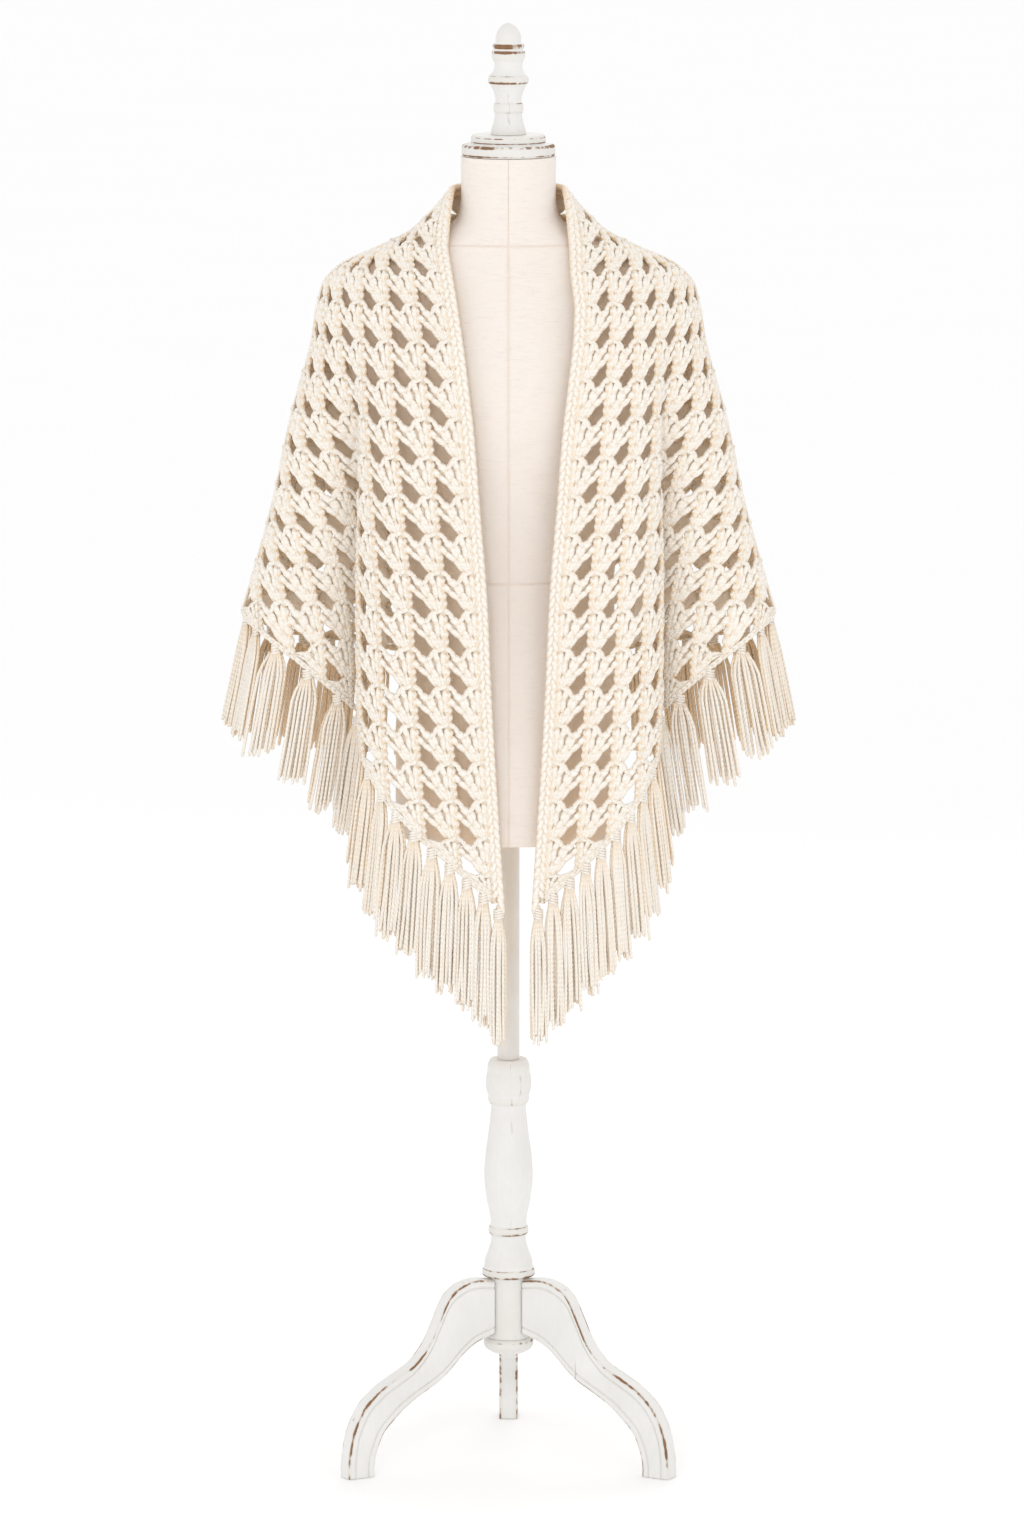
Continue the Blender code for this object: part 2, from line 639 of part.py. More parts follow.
def add_fringe(name, side, path, lengths, spreads, material):
    """A narrow strip under the hem, with the locks of the tassels growing from it.

    The locks' length and their spread from the pole go from one value to the other.
    """
    samples, marks = hem_samples(lowered(path))
    points = []
    faces = []
    for top, normal in samples:
        low = top - Vector((0.0, 0.0, STRIP_DEPTH))
        level = Vector((normal.x, normal.y, 0.0)).normalized()
        points += [top - level * 0.3 * MM, low + level * STRIP_OUT, low - level * STRIP_IN]
    for number, is_lock in enumerate(marks):
        t0, o0, i0 = 3 * number, 3 * number + 1, 3 * number + 2
        t1, o1, i1 = t0 + 3, o0 + 3, i0 + 3
        faces += [(t0, o0, o1, t1), (t0, t1, i1, i0)]
        if not is_lock:
            faces.append((o0, i0, i1, o1))
            continue
        centre = (points[o0] + points[o1] + points[i0] + points[i1]) * 0.25
        level = (points[o0] + points[o1] - points[i0] - points[i1]).normalized()
        run = points[o1] - points[o0]
        run.z = 0.0
        half = min(LOCK_HALF, 0.47 * run.length + 0.4 * MM)
        run.normalize()
        share = number / len(marks)
        length = lengths[0] + (lengths[1] - lengths[0]) * share
        length *= 1.0 + 0.035 * math.sin(2.4 * number)
        away = Vector((centre.x, centre.y, 0.0)).normalized()
        away *= length * (spreads[0] + (spreads[1] - spreads[0]) * share)
        before = (o0, o1, i1, i0)
        for step, fall in enumerate((LOCK_BEND, 1.0)):
            low = centre - Vector((0.0, 0.0, length * fall)) + away * fall
            low += run * LOCK_SWAY * length * fall * math.sin(1.7 * number)
            thick = half * (1.0 if step == 0 else LOCK_TAPER)
            first = len(points)
            points += [low - run * thick + level * 0.5 * thick,
                       low + run * thick + level * 0.5 * thick,
                       low - level * thick]
            a, b, c = first, first + 1, first + 2
            if step == 0:
                faces += [(o0, a, b, o1), (o0, i0, c, a), (o1, b, c, i1), (i0, i1, c)]
            else:
                u, v, w = before
                faces += [(u, a, b, v), (v, b, c, w), (w, c, a, u)]
            before = (a, b, c)
        faces.append((before[0], before[2], before[1]))
    last = 3 * (len(samples) - 1)
    faces += [(0, 2, 1), (last, last + 1, last + 2)]
    points = [mirrored(p, side) for p in points]
    return add_object(name, points, faces, material)


def loft(name, rings, material, centre_top=None):
    """Rings of equal count joined into one closed body."""
    sides = len(rings[0])
    points = [p for ring in rings for p in ring]
    faces = []
    for level in range(len(rings) - 1):
        for number in range(sides):
            a = level * sides + number
            b = level * sides + (number + 1) % sides
            faces.append((a, b, b + sides, a + sides))
    faces.append(tuple(reversed(range(sides))))
    top = (len(rings) - 1) * sides
    if centre_top is None:
        faces.append(tuple(range(top, top + sides)))
    else:
        points.append(centre_top)
        tip = len(points) - 1
        for number in range(sides):
            faces.append((top + number, top + (number + 1) % sides, tip))
    return add_object(name, points, faces, material)


def add_torso(material):
    rings = []
    for row in TORSO:
        ring = []
        for number in range(TORSO_SIDES):
            angle = math.tau * number / TORSO_SIDES
            depth = row.back if math.sin(angle) > 0 else row.front
            x = row.half_width * math.cos(angle)
            ring.append(Vector((x, depth * math.sin(angle), row.z)) * MM)
        rings.append(ring)
    return loft("torso", rings, material)


def add_turned(name, profile, material, tip=None):
    rings = []
    for row in profile:
        ring = []
        for number in range(TURNED_SIDES):
            angle = math.tau * number / TURNED_SIDES
            x = row.radius * math.cos(angle)
            ring.append(Vector((x, row.radius * math.sin(angle), row.z)) * MM)
        rings.append(ring)
    top = None if tip is None else Vector((0.0, 0.0, tip)) * MM
    return loft(name, rings, material, top)


def add_leg(name, angle, material):
    """A scrolled plank that stands out from the column, with eased edges."""
    turn = math.radians(angle)
    out = Vector((math.cos(turn), math.sin(turn), 0.0))
    side = Vector((-math.sin(turn), math.cos(turn), 0.0))
    half = 0.5 * LEG_THICKNESS
    rings = []
    for row in LEG:
        top = out * row.top_r * MM + Vector((0.0, 0.0, row.top_z * MM))
        low = out * row.low_r * MM + Vector((0.0, 0.0, row.low_z * MM))
        ease = (top - low).normalized() * LEG_BEVEL
        flat = half - LEG_BEVEL
        rings.append([
            low - side * flat, low + ease - side * half, top - ease - side * half,
            top - side * flat, top + side * flat, top - ease + side * half,
            low + ease + side * half, low + side * flat,
        ])
    return loft(name, rings, material)


def build():
    clear_scene()
    yarn = finish("cream cotton yarn", (0.92, 0.86, 0.74), 0.85)
    linen = finish("linen cover", (0.85, 0.78, 0.71), 0.9)
    paint = finish("rubbed white paint", (0.9, 0.88, 0.85), 0.55)
    sides = {"left": 1, "right": -1}

    for word, side in sides.items():
        panel, panel_lines = front_lace(side, 0, PANEL_COLUMNS)
        wing, wing_lines = front_lace(side, PANEL_COLUMNS, None)
        back, back_lines = back_lace(side)
        print("gaps on this half", panel.gaps, wing.gaps, back.gaps)
        add_lace("front_panel_" + word, panel, yarn)
        add_lace("wing_" + word, wing, yarn)
        add_lace("back_" + word, back, yarn)
        add_band("band_" + word, side, yarn)

        tip_z = front_hem_z(0.0)
        path = [(cloth_point(tip_z, 0.0, side), cloth_normal(tip_z, 0.0))]
        path += [(panel.points[line[-1]], panel.normals[line[-1]]) for line in panel_lines]
        path += [(wing.points[line[-1]], wing.normals[line[-1]]) for line in wing_lines[1:]]
        path.reverse()
        lengths = (LENGTH_WING, LENGTH_FRONT)
        add_fringe("fringe_front_" + word, side, path, lengths, (SPREAD_WING, SPREAD_FRONT), yarn)
        path = [(back.points[line[-1]], back.normals[line[-1]]) for line in back_lines]
        lengths = (LENGTH_BACK, LENGTH_WING)
        add_fringe("fringe_back_" + word, side, path, lengths, (SPREAD_BACK, SPREAD_WING), yarn)

    add_torso(linen)
    add_turned("neck_cap", NECK_CAP, paint)
    add_turned("finial", FINIAL, paint, FINIAL_TOP)
    add_turned("pole", POLE, paint)
    add_turned("column", COLUMN, paint)
    add_turned("knob", KNOB, paint)
    for name, angle in LEG_ANGLES.items():
        add_leg(name, angle, paint)


build()
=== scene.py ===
# %% [markdown]
# # A crochet shawl on a dress form
#
# The shawl is a wide strip of open shell lace with a chain band along its long edge and a
# long fringe along the other. It hangs over the shoulders of a linen dress form, which
# stands on a turned pole with three scrolled legs. The solids of the whole object are
# packed already, so this script starts by loading them and then dresses each of them.

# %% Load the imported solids
import math
from collections import namedtuple

import bpy
import numpy as np
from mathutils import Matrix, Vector


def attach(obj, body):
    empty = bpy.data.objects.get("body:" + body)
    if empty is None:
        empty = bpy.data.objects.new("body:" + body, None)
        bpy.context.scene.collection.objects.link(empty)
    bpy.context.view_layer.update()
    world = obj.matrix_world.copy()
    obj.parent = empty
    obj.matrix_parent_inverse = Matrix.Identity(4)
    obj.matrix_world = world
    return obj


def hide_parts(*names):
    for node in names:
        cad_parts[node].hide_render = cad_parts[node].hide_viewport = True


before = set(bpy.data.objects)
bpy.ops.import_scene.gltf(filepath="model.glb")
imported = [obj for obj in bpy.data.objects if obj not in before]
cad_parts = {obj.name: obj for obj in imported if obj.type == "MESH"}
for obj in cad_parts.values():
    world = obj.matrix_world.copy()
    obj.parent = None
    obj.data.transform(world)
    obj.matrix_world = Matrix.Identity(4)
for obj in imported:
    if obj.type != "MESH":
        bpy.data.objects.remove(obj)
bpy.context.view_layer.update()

MM = 0.001

# %% [markdown]
# ## Writing materials as sums
#
# A material in Blender is a net of nodes. Drawn by hand it is easy to read, but in a script
# each node and link takes lines of its own. Here a small class wraps a socket, so that
# `1 - mask` or `noise * 0.3` adds the Math node by itself. Every other kind of node comes
# from one method, which sets the node's own settings first and then its sockets.


# %% A socket that can be reckoned with
class Wire:
    """One output socket. Adding, multiplying and so on makes Math nodes."""

    def __init__(self, recipe, socket):
        self.recipe = recipe
        self.socket = socket

    def maths(self, operation, first, second=0.0):
        settings = {"operation": operation}
        return self.recipe.node("ShaderNodeMath", settings, {0: first, 1: second})

    def __add__(self, other):
        return self.maths("ADD", self, other)

    def __sub__(self, other):
        return self.maths("SUBTRACT", self, other)

    def __rsub__(self, other):
        return self.maths("SUBTRACT", other, self)

    def __mul__(self, other):
        return self.maths("MULTIPLY", self, other)

    __radd__ = __add__
    __rmul__ = __mul__

    def wave(self):
        """A sine of this value, where one whole step of it is one wave."""
        return self.maths("SINE", self * math.tau)

    def within(self):
        """This value kept between 0 and 1."""
        return self.maths("MINIMUM", self.maths("MAXIMUM", self, 0.0), 1.0)


class Recipe:
    """One material and its nodes."""

    def __init__(self, name):
        self.material = bpy.data.materials.new(name)
        self.material.use_nodes = True
        self.tree = self.material.node_tree
        self.tree.nodes.clear()

    def node(self, kind, settings=None, sockets=None, out=0):
        made = self.tree.nodes.new(kind)
        for key, value in (settings or {}).items():
            if key == "stops":
                self.set_stops(made.color_ramp, value)
            else:
                setattr(made, key, value)
        for key, value in (sockets or {}).items():
            if isinstance(value, Wire):
                self.tree.links.new(value.socket, made.inputs[key])
            else:
                made.inputs[key].default_value = value
        return Wire(self, made.outputs[out])

    @staticmethod
    def set_stops(ramp, stops):
        while len(ramp.elements) < len(stops):
            ramp.elements.new(0.5)
        for element, (place, value) in zip(ramp.elements, stops):
            element.position = place
            element.color = (value, value, value, 1.0)

    def noise(self, scale, detail=3.0, stretch=(1.0, 1.0, 1.0)):
        """Cloudy noise over the object, finer where stretch is large."""
        place = self.node("ShaderNodeTexCoord", out="Object")
        place = self.node("ShaderNodeVectorMath", {"operation": "MULTIPLY"},
                          {0: place, 1: stretch})
        return self.node("ShaderNodeTexNoise", {},
                         {"Vector": place, "Scale": scale, "Detail": detail}, out="Fac")

    def ramp(self, value, *stops):
        return self.node("ShaderNodeValToRGB", {"stops": stops}, {"Fac": value})

    def stored(self, name):
        """A number that the mesh keeps at each of its points."""
        return self.node("ShaderNodeAttribute", {"attribute_name": name}, out="Fac")

    def mix(self, factor, first, second):
        """One colour turning into another as the factor goes from 0 to 1."""
        return self.node("ShaderNodeMix", {"data_type": "RGBA"},
                         {0: factor, 6: first, 7: second}, out=2)

    def surface(self, colour, roughness, height, depth, **fixed):
        """The Principled shader, with a bump of that depth in metres."""
        bump = self.node("ShaderNodeBump", {}, {"Height": height, "Distance": depth,
                                                "Strength": 1.0})
        sockets = {"Base Color": colour, "Roughness": roughness, "Normal": bump}
        sockets.update({key.replace("_", " "): value for key, value in fixed.items()})
        shader = self.node("ShaderNodeBsdfPrincipled", {}, sockets)
        end = self.tree.nodes.new("ShaderNodeOutputMaterial")
        self.tree.links.new(shader.socket, end.inputs["Surface"])
        return self.material


GIVEN_BACK = 0.98               # share of the light that even the whitest surface gives back


def colour(red, green, blue):
    """A colour as seen in bright light, in 0 to 255, as the share of light it gives back."""
    linear = [((c / 255 + 0.055) / 1.055) ** 2.4 for c in (red, green, blue)]
    return (*(GIVEN_BACK * c for c in linear), 1.0)


print("white gives back:", [round(share, 3) for share in colour(255, 255, 255)[:3]])


# %% [markdown]
# ## Cream yarn
#
# The shawl is worked in a thick, soft, loosely twisted yarn. Three things make yarn look
# like yarn: the slanting lines of its plies, the haze of loose fibres, and the warm dark
# in the creases where light has bounced from thread to thread. The plies are stripes that
# wind round each thread, with their grooves darkened a little as painted shade, and the haze
# is a sheen. The warm dark in the creases is painted shade too: a number that each thread's
# mesh keeps at its points, so it stays in place from every side.


# %% The yarn's finish
def yarn_finish(name, plies, pitch):
    """Yarn with that many plies, which wind once round it in that length in metres."""
    recipe = Recipe(name)
    thread = recipe.node("ShaderNodeUVMap", {"uv_map": "thread"})
    around = recipe.node("ShaderNodeSeparateXYZ", {}, {"Vector": thread}, out="X")
    along = recipe.node("ShaderNodeSeparateXYZ", {}, {"Vector": thread}, out="Y")
    stripe = (around * plies + along * (plies / pitch)).wave() * 0.5 + 0.5
    fuzz = recipe.noise(1500.0, 2.0)
    patches = recipe.noise(28.0, 2.0)
    crease = recipe.stored("crease")
    # Painted shade: the creases, the side of each thread towards the cloth and the ply grooves
    # turn warm tan; the patches are the yarn's own uneven tone.
    dark = (crease * 0.8 + (1 - stripe) * 0.12 + (patches - 0.5) * 0.2).within()
    cream = recipe.mix(dark, colour(252, 247, 239), colour(243, 210, 164))
    return recipe.surface(
        cream, 0.82 + fuzz * 0.12, stripe * 0.75 + fuzz * 0.4, 0.7 * MM,
        Sheen_Weight=0.35, Sheen_Roughness=0.45, Specular_IOR_Level=0.25,
    )


crochet_yarn = yarn_finish("crochet yarn", plies=3, pitch=14 * MM)
fringe_yarn = yarn_finish("fringe yarn", plies=3, pitch=16 * MM)
print("yarn finishes:", crochet_yarn.name, fringe_yarn.name)

# %% [markdown]
# ## Linen cover
#
# The form is covered in plain linen, stretched smooth. A plain weave is a fine grid, and
# linen has slubs, short thick places in some threads. Both are bumps of a fraction of a
# millimetre. Even waves would shimmer at this size, so two noises give the grid instead. One
# is drawn out upright and the other level, as the linen's threads run up and round the torso.
#
# Under the shawl the linen is seen by light that has bounced between cream yarn and cloth.
# The torso keeps a number for how far the shawl covers it, and that paints the colour there
# warmer, as painted bounced light.


# %% The linen's finish
def linen_finish():
    recipe = Recipe("linen cover")
    rounds = recipe.noise(420.0, 2.0, (1.0, 1.0, 9.0))
    uprights = recipe.noise(420.0, 2.0, (9.0, 9.0, 1.0))
    weave = rounds * 0.5 + uprights * 0.5
    slubs = recipe.ramp(recipe.noise(60.0, 2.0, (1.0, 1.0, 14.0)), (0.55, 0.0), (0.75, 1.0))
    patches = recipe.noise(9.0, 3.0)
    crease = recipe.stored("crease")
    # Painted shade: the stored number darkens the seam grooves; the patches, weave and slubs are
    # the linen's own tone.
    tone = (crease * 0.9 + (patches - 0.5) * 0.35 + (weave - 0.5) * 0.9 + slubs * 0.1).within()
    cloth = recipe.mix(tone, colour(247, 238, 230), colour(222, 198, 176))
    # Painted bounced light: under the shawl the linen turns a warm cream.
    shaded = recipe.mix(recipe.stored("covered"), cloth, colour(255, 237, 217))
    return recipe.surface(
        shaded, 0.86 + weave * 0.1, weave + slubs * 0.5, 0.5 * MM,
        Sheen_Weight=0.15, Sheen_Roughness=0.5, Specular_IOR_Level=0.25,
    )


linen_cover = linen_finish()
print("linen finish:", linen_cover.name)

# %% [markdown]
# ## Rubbed white paint
#
# The wood is painted white and then rubbed through along its rims, as old painted
# furniture is. The mesh keeps a number that is high on the rims. It only says where paint
# could be gone: a streaky noise then decides where it really is, so the brown shows in
# broken lines. Bare wood is a little lower and rougher than paint, so it takes part in the
# bump and the roughness too.


# %% The paint's finish
def paint_finish():
    recipe = Recipe("rubbed white paint")
    rim = recipe.stored("rim")
    streaks = recipe.noise(130.0, 4.0, (1.0, 1.0, 0.6))
    breaks = recipe.noise(26.0, 3.0)
    rubbed = recipe.ramp(rim * (streaks * 0.8 + breaks * 1.0), (0.80, 0.0), (0.94, 1.0))
    scratches = recipe.ramp(recipe.noise(150.0, 2.0, (1.0, 1.0, 0.05)), (0.70, 0.0), (0.78, 1.0))
    bare = (rubbed + scratches * breaks * 0.7).within()
    brush = recipe.noise(240.0, 3.0, (1.0, 1.0, 0.25))
    soft = recipe.noise(14.0, 2.0)
    paint = recipe.mix((soft * 0.7 + brush * 0.3).within(), colour(243, 243, 242),
                       colour(220, 218, 214))
    dusty = recipe.mix((rim * breaks * 0.55).within(), paint, colour(206, 190, 168))
    grain = recipe.noise(300.0, 3.0, (1.0, 1.0, 0.1))
    wood = recipe.mix(grain, colour(158, 120, 86), colour(108, 78, 54))
    finish = recipe.mix(bare, dusty, wood)
    return recipe.surface(
        finish, 0.42 + bare * 0.3 + brush * 0.12, brush * 0.25 - bare * 0.8, 0.35 * MM,
        Specular_IOR_Level=0.45,
    )


white_paint = paint_finish()
print("paint finish:", white_paint.name)

# %% [markdown]
# ## How the cloth hangs
#
# A hanging shawl could be simulated, but a simulation would not fall into the folds that
# this shawl has. So the drape is drawn instead, as level sections of the cloth's middle
# surface. Each section runs from the front edge over the panel, into the fold in front of
# the arm, out to the wing and round to the centre of the back. They are the same sections
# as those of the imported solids, so the lace lies exactly in its solids.

# %% Sections of the cloth
AXIS_Y = -42.6 * MM             # the pole's axis, behind which the object's box is centred

Section = namedtuple(
    "Section",
    "z edge panel crest turn valley wing outer side rear blade back centre",
)
SECTIONS = [
    Section(1455, (59, -12), (60, -10), (61, -8), (61, -6), (61, -4), (61, -2), (61, 0),
            (61, 3), (57, 20), (46, 36), (26, 50), (0, 55.6)),
    Section(1441, (61, -22), (64, -19), (66, -16), (68, -12), (69, -8), (70, -4), (71, 0),
            (71, 4), (66, 23), (51, 41), (28, 54), (0, 60)),
    Section(1420, (65, -35), (71, -31), (76, -27), (81, -22), (85, -16), (88, -10), (89, -4),
            (90, 3), (84, 26), (65, 46), (36, 60), (0, 67)),
    Section(1402, (68, -47), (78, -42), (87, -36), (95, -29), (101, -22), (106, -14), (109, -5),
            (111, 3), (102, 30), (78, 53), (43, 69), (0, 76)),
    Section(1385, (67, -60), (85, -56), (100, -51), (114, -43), (126, -34), (135, -22),
            (142, -9), (145, 4), (131, 36), (99, 63), (53, 80), (0, 87)),
    Section(1371, (66, -70), (91, -67), (110, -62), (129, -55), (147, -44), (162, -29),
            (173, -12), (177, 5), (160, 44), (119, 74), (63, 91), (0, 97)),
    Section(1351, (65, -82), (97, -81), (121, -77), (144, -69), (165, -56), (184, -38),
            (196, -17), (202, 4), (186, 48), (140, 84), (75, 102), (0, 108)),
    Section(1328, (65, -92), (101, -93), (128, -90), (153, -81), (176, -66), (196, -45),
            (205, -22), (210, 2), (196, 50), (151, 90), (81, 110), (0, 116)),
    Section(1280, (60, -107), (101, -110), (132, -106), (158, -93), (178, -74), (199, -54),
            (212, -29), (219, 0), (206, 53), (160, 97), (85, 118), (0, 124)),
    Section(1200, (50, -118), (96, -122), (134, -115), (162, -91), (168, -66), (197, -61),
            (227, -39), (241, 0), (225, 58), (171, 102), (89, 121), (0, 125)),
    Section(1100, (42, -121), (91, -125), (138, -114), (166, -82), (165, -48), (201, -59),
            (243, -45), (263, 0), (243, 62), (181, 103), (91, 117), (0, 118)),
    Section(1000, (34, -120), (86, -125), (138, -113), (168, -77), (164, -33), (206, -55),
            (261, -49), (291, 0), (265, 64), (193, 103), (95, 115), (0, 114)),
    Section(950, (32, -119), (83, -124), (138, -112), (168, -76), (163, -28), (207, -53),
            (271, -49), (306, 0), (277, 64), (199, 103), (97, 114), (0, 113)),
    Section(860, (28, -116), (79, -122), (136, -111), (167, -76), (162, -29), (207, -51),
            (271, -49), (309, 0), (279, 64), (200, 103), (97, 114), (0, 113)),
    Section(760, (22, -111), (73, -118), (131, -109), (161, -77), (158, -33), (204, -52),
            (270, -49), (309, 0), (279, 64), (200, 103), (97, 114), (0, 113)),
    Section(600, (12, -104), (62, -111), (118, -105), (150, -77), (150, -36), (198, -52),
            (266, -49), (309, 0), (279, 64), (200, 103), (97, 114), (0, 113)),
]
SIDE_KEY = Section._fields.index("side") - 1
SECTION_Z = np.array([row.z for row in reversed(SECTIONS)]) * MM
SECTION_XY = np.array([row[1:] for row in reversed(SECTIONS)], dtype=float) * MM
SECTION_SLOPE = np.gradient(SECTION_XY, SECTION_Z, axis=0)
STEPS_PER_SPAN = 8
print("sections:", len(SECTIONS), "of", len(Section._fields) - 1, "named points each")


def key_points(z):
    """The named points of the section at a height, by a cubic between the rows."""
    z = min(max(z, SECTION_Z[0]), SECTION_Z[-1])
    row = min(int(np.searchsorted(SECTION_Z, z, side="right")) - 1, len(SECTION_Z) - 2)
    span = SECTION_Z[row + 1] - SECTION_Z[row]
    t = (z - SECTION_Z[row]) / span
    return (
        (2 * t**3 - 3 * t**2 + 1) * SECTION_XY[row]
        + (t**3 - 2 * t**2 + t) * span * SECTION_SLOPE[row]
        + (3 * t**2 - 2 * t**3) * SECTION_XY[row + 1]
        + (t**3 - t**2) * span * SECTION_SLOPE[row + 1]
    )


def smooth_curve(keys, first, last, steps):
    """A curve through the key points, with that many steps from one to the next."""
    around = np.vstack([first, keys, last])
    t = (np.arange(steps) / steps)[:, None]
    spans = []
    for p0, p1, p2, p3 in zip(around, around[1:], around[2:], around[3:]):
        spans.append(0.5 * (2 * p1 + (p2 - p0) * t + (2 * p0 - 5 * p1 + 4 * p2 - p3) * t**2
                            + (3 * p1 - p0 - 3 * p2 + p3) * t**3))
    return np.vstack(spans + [keys[-1:]])


def section(z):
    """Points of the section and their distances from the front edge."""
    keys = key_points(z)
    points = smooth_curve(keys, 2 * keys[0] - keys[1], keys[-2] * (-1, 1), STEPS_PER_SPAN)
    steps = np.linalg.norm(np.diff(points, axis=0), axis=1)
    return points, np.concatenate([[0.0], np.cumsum(steps)])


def smooth_step(low, high, value):
    t = np.clip((value - low) / (high - low), 0.0, 1.0)
    return t * t * (3 - 2 * t)


# %% [markdown]
# The lace has hundreds of thousands of points, and each needs a place on the cloth. Working
# out a section for each would take minutes, so the sections are worked out once for every
# millimetre of height and distance, and a point is read from that table, between its four
# nearest entries. The back's soft upright folds are waves that are added to the table. They
# fade out towards the shoulders, where the cloth is drawn tight.

# %% A table of the whole drape
TABLE_STEP = 1.0 * MM
REACH = 0.86                    # longest distance over the cloth that the table holds
BACK_FOLD_PITCH = 0.118
BACK_FOLD_DEPTH = 0.013
BACK_FOLD_START = 0.06          # distance behind the wing's ridge at which folds are full
BACK_FOLD_TOP = 1.27
BACK_FOLD_LOW = 0.93
TABLE_Z = np.arange(SECTION_Z[0], SECTION_Z[-1] + 0.5 * TABLE_STEP, TABLE_STEP)
TABLE_D = np.arange(0.0, REACH, TABLE_STEP)
whole, side_at, rows = [], [], []
for height in TABLE_Z:
    points, along = section(height)
    end = along[-1]
    side_along = along[SIDE_KEY * STEPS_PER_SPAN]
    x = np.interp(TABLE_D, along, points[:, 0]) - np.maximum(TABLE_D - end, 0.0)
    y = np.interp(TABLE_D, along, points[:, 1])
    depth = BACK_FOLD_DEPTH * (1.0 - smooth_step(BACK_FOLD_LOW, BACK_FOLD_TOP, height))
    fade = smooth_step(0.0, BACK_FOLD_START, TABLE_D - side_along)
    y += depth * fade * (0.5 - 0.5 * np.cos(math.tau * (end - TABLE_D) / BACK_FOLD_PITCH))
    rows.append(np.stack([x, y], axis=1))
    whole.append(end)
    side_at.append(side_along)
DRAPE = np.array(rows)
print("drape table:", DRAPE.shape, "widest section:", round(max(whole), 3), "m")


# %% [markdown]
# Three questions can now be asked of the drape: how far it is along the cloth to the centre
# back, how far to the wing's ridge, and where a point of the cloth lies. The opening hangs a
# little towards the wearer's left, so the front of both panels is moved that way. The move
# fades out towards the shoulders and the sides.

# %% Ask the drape for places
OPENING_SHIFT = 11.0 * MM
SHIFT_FADE = (0.06, 0.20)       # distances from the middle between which the move fades out
SHIFT_TOP = (1.30, 1.40)        # heights between which it fades out
FRONT_DEPTH = 0.06              # distance before the axis at which it is full
NECK_Z = 1.441
NORMAL_STEP = 2.5 * MM


def whole_distance(z):
    return float(np.interp(z, TABLE_Z, whole))


def side_distance(z):
    return float(np.interp(z, TABLE_Z, side_at))


def cloth_points(z, distance, side=0):
    """Points on the cloth's middle surface, by heights and distances from the front edge."""
    z, distance = np.broadcast_arrays(np.asarray(z, float), np.asarray(distance, float))
    row = (z - TABLE_Z[0]) / TABLE_STEP
    column = distance / TABLE_STEP
    r = np.clip(np.floor(row).astype(int), 0, DRAPE.shape[0] - 2)
    c = np.clip(np.floor(column).astype(int), 0, DRAPE.shape[1] - 2)
    u = (row - r)[..., None]
    v = (column - c)[..., None]
    xy = ((1 - u) * ((1 - v) * DRAPE[r, c] + v * DRAPE[r, c + 1])
          + u * ((1 - v) * DRAPE[r + 1, c] + v * DRAPE[r + 1, c + 1]))
    x, y = xy[..., 0], xy[..., 1]
    in_front = smooth_step(0.0, FRONT_DEPTH, -y)
    near = 1.0 - smooth_step(*SHIFT_FADE, x)
    below = 1.0 - smooth_step(*SHIFT_TOP, z)
    x = x + side * OPENING_SHIFT * in_front * near * below
    return np.stack([x, y, z], axis=-1)


def unit(vectors):
    length = np.linalg.norm(vectors, axis=-1, keepdims=True)
    return vectors / np.maximum(length, 1e-12)


def cloth_normals(z, distance):
    """The way out of the cloth, level along the neck."""
    step = NORMAL_STEP
    z, distance = np.broadcast_arrays(np.asarray(z, float), np.asarray(distance, float))
    across = cloth_points(z, distance + step) - cloth_points(z, distance - step)
    up = cloth_points(z + step, distance) - cloth_points(z - step, distance)
    normal = np.cross(across, up)
    normal[..., 2] *= np.where(z >= NECK_Z, 0.0, 1.0)
    return unit(normal)


print("neck to centre back:", round(whole_distance(NECK_Z), 3), "m over the cloth")

# %% [markdown]
# ## Columns, rows and the hem
#
# The lace is a net of shells, 35 mm wide and 43 mm tall. Its columns run along the shawl's
# long edge: down the front, over the shoulder and level across the back. On the shoulder
# the cloth is drawn together, so the columns lie closer there. The hem rises in steps from
# the front point to the wing, and the lace ends on it.

# %% The hem and the lines of the columns
COLUMN_PITCH = 35.0 * MM
SHOULDER_PITCH = 30.0 * MM
PITCH_FREE_Z = 1.18             # below this height the columns have their full pitch
PITCH_DRAWN_Z = 1.33            # above this one they have the shoulder's
BACK_PITCH = 43.0 * MM
BAND_WIDTH = 14.0 * MM
WING_TIP_Z = 0.979
SETTLE_ROUNDS = 40              # rounds of halving until a column's end lies on the hem

HemPoint = namedtuple("HemPoint", "place z")
FRONT_HEM = [
    HemPoint(0, 646), HemPoint(18, 670), HemPoint(46, 697), HemPoint(78, 727),
    HemPoint(105, 758), HemPoint(128, 786), HemPoint(150, 816), HemPoint(165, 838),
    HemPoint(200, 860), HemPoint(225, 875), HemPoint(245, 892), HemPoint(271, 914),
    HemPoint(308, 946), HemPoint(335, 965), HemPoint(372, 979),
]
BACK_HEM = [HemPoint(0.0, 908), HemPoint(0.35, 917), HemPoint(0.7, 940), HemPoint(1.0, 979)]


def hem_height(hem, scale, place):
    return float(np.interp(place, [p.place * scale for p in hem], [p.z * MM for p in hem]))


def column_pitch(z):
    drawn = smooth_step(PITCH_FREE_Z, PITCH_DRAWN_Z, z)
    return COLUMN_PITCH + (SHOULDER_PITCH - COLUMN_PITCH) * drawn


def front_column(column, z):
    return BAND_WIDTH + column * column_pitch(z)


def back_column(column, z):
    return whole_distance(z) - column * BACK_PITCH


def front_end(column):
    """Height at which a front column meets the hem."""
    z = WING_TIP_Z
    for _ in range(SETTLE_ROUNDS):
        z = 0.5 * (z + hem_height(FRONT_HEM, MM, front_column(column, z)))
    return z


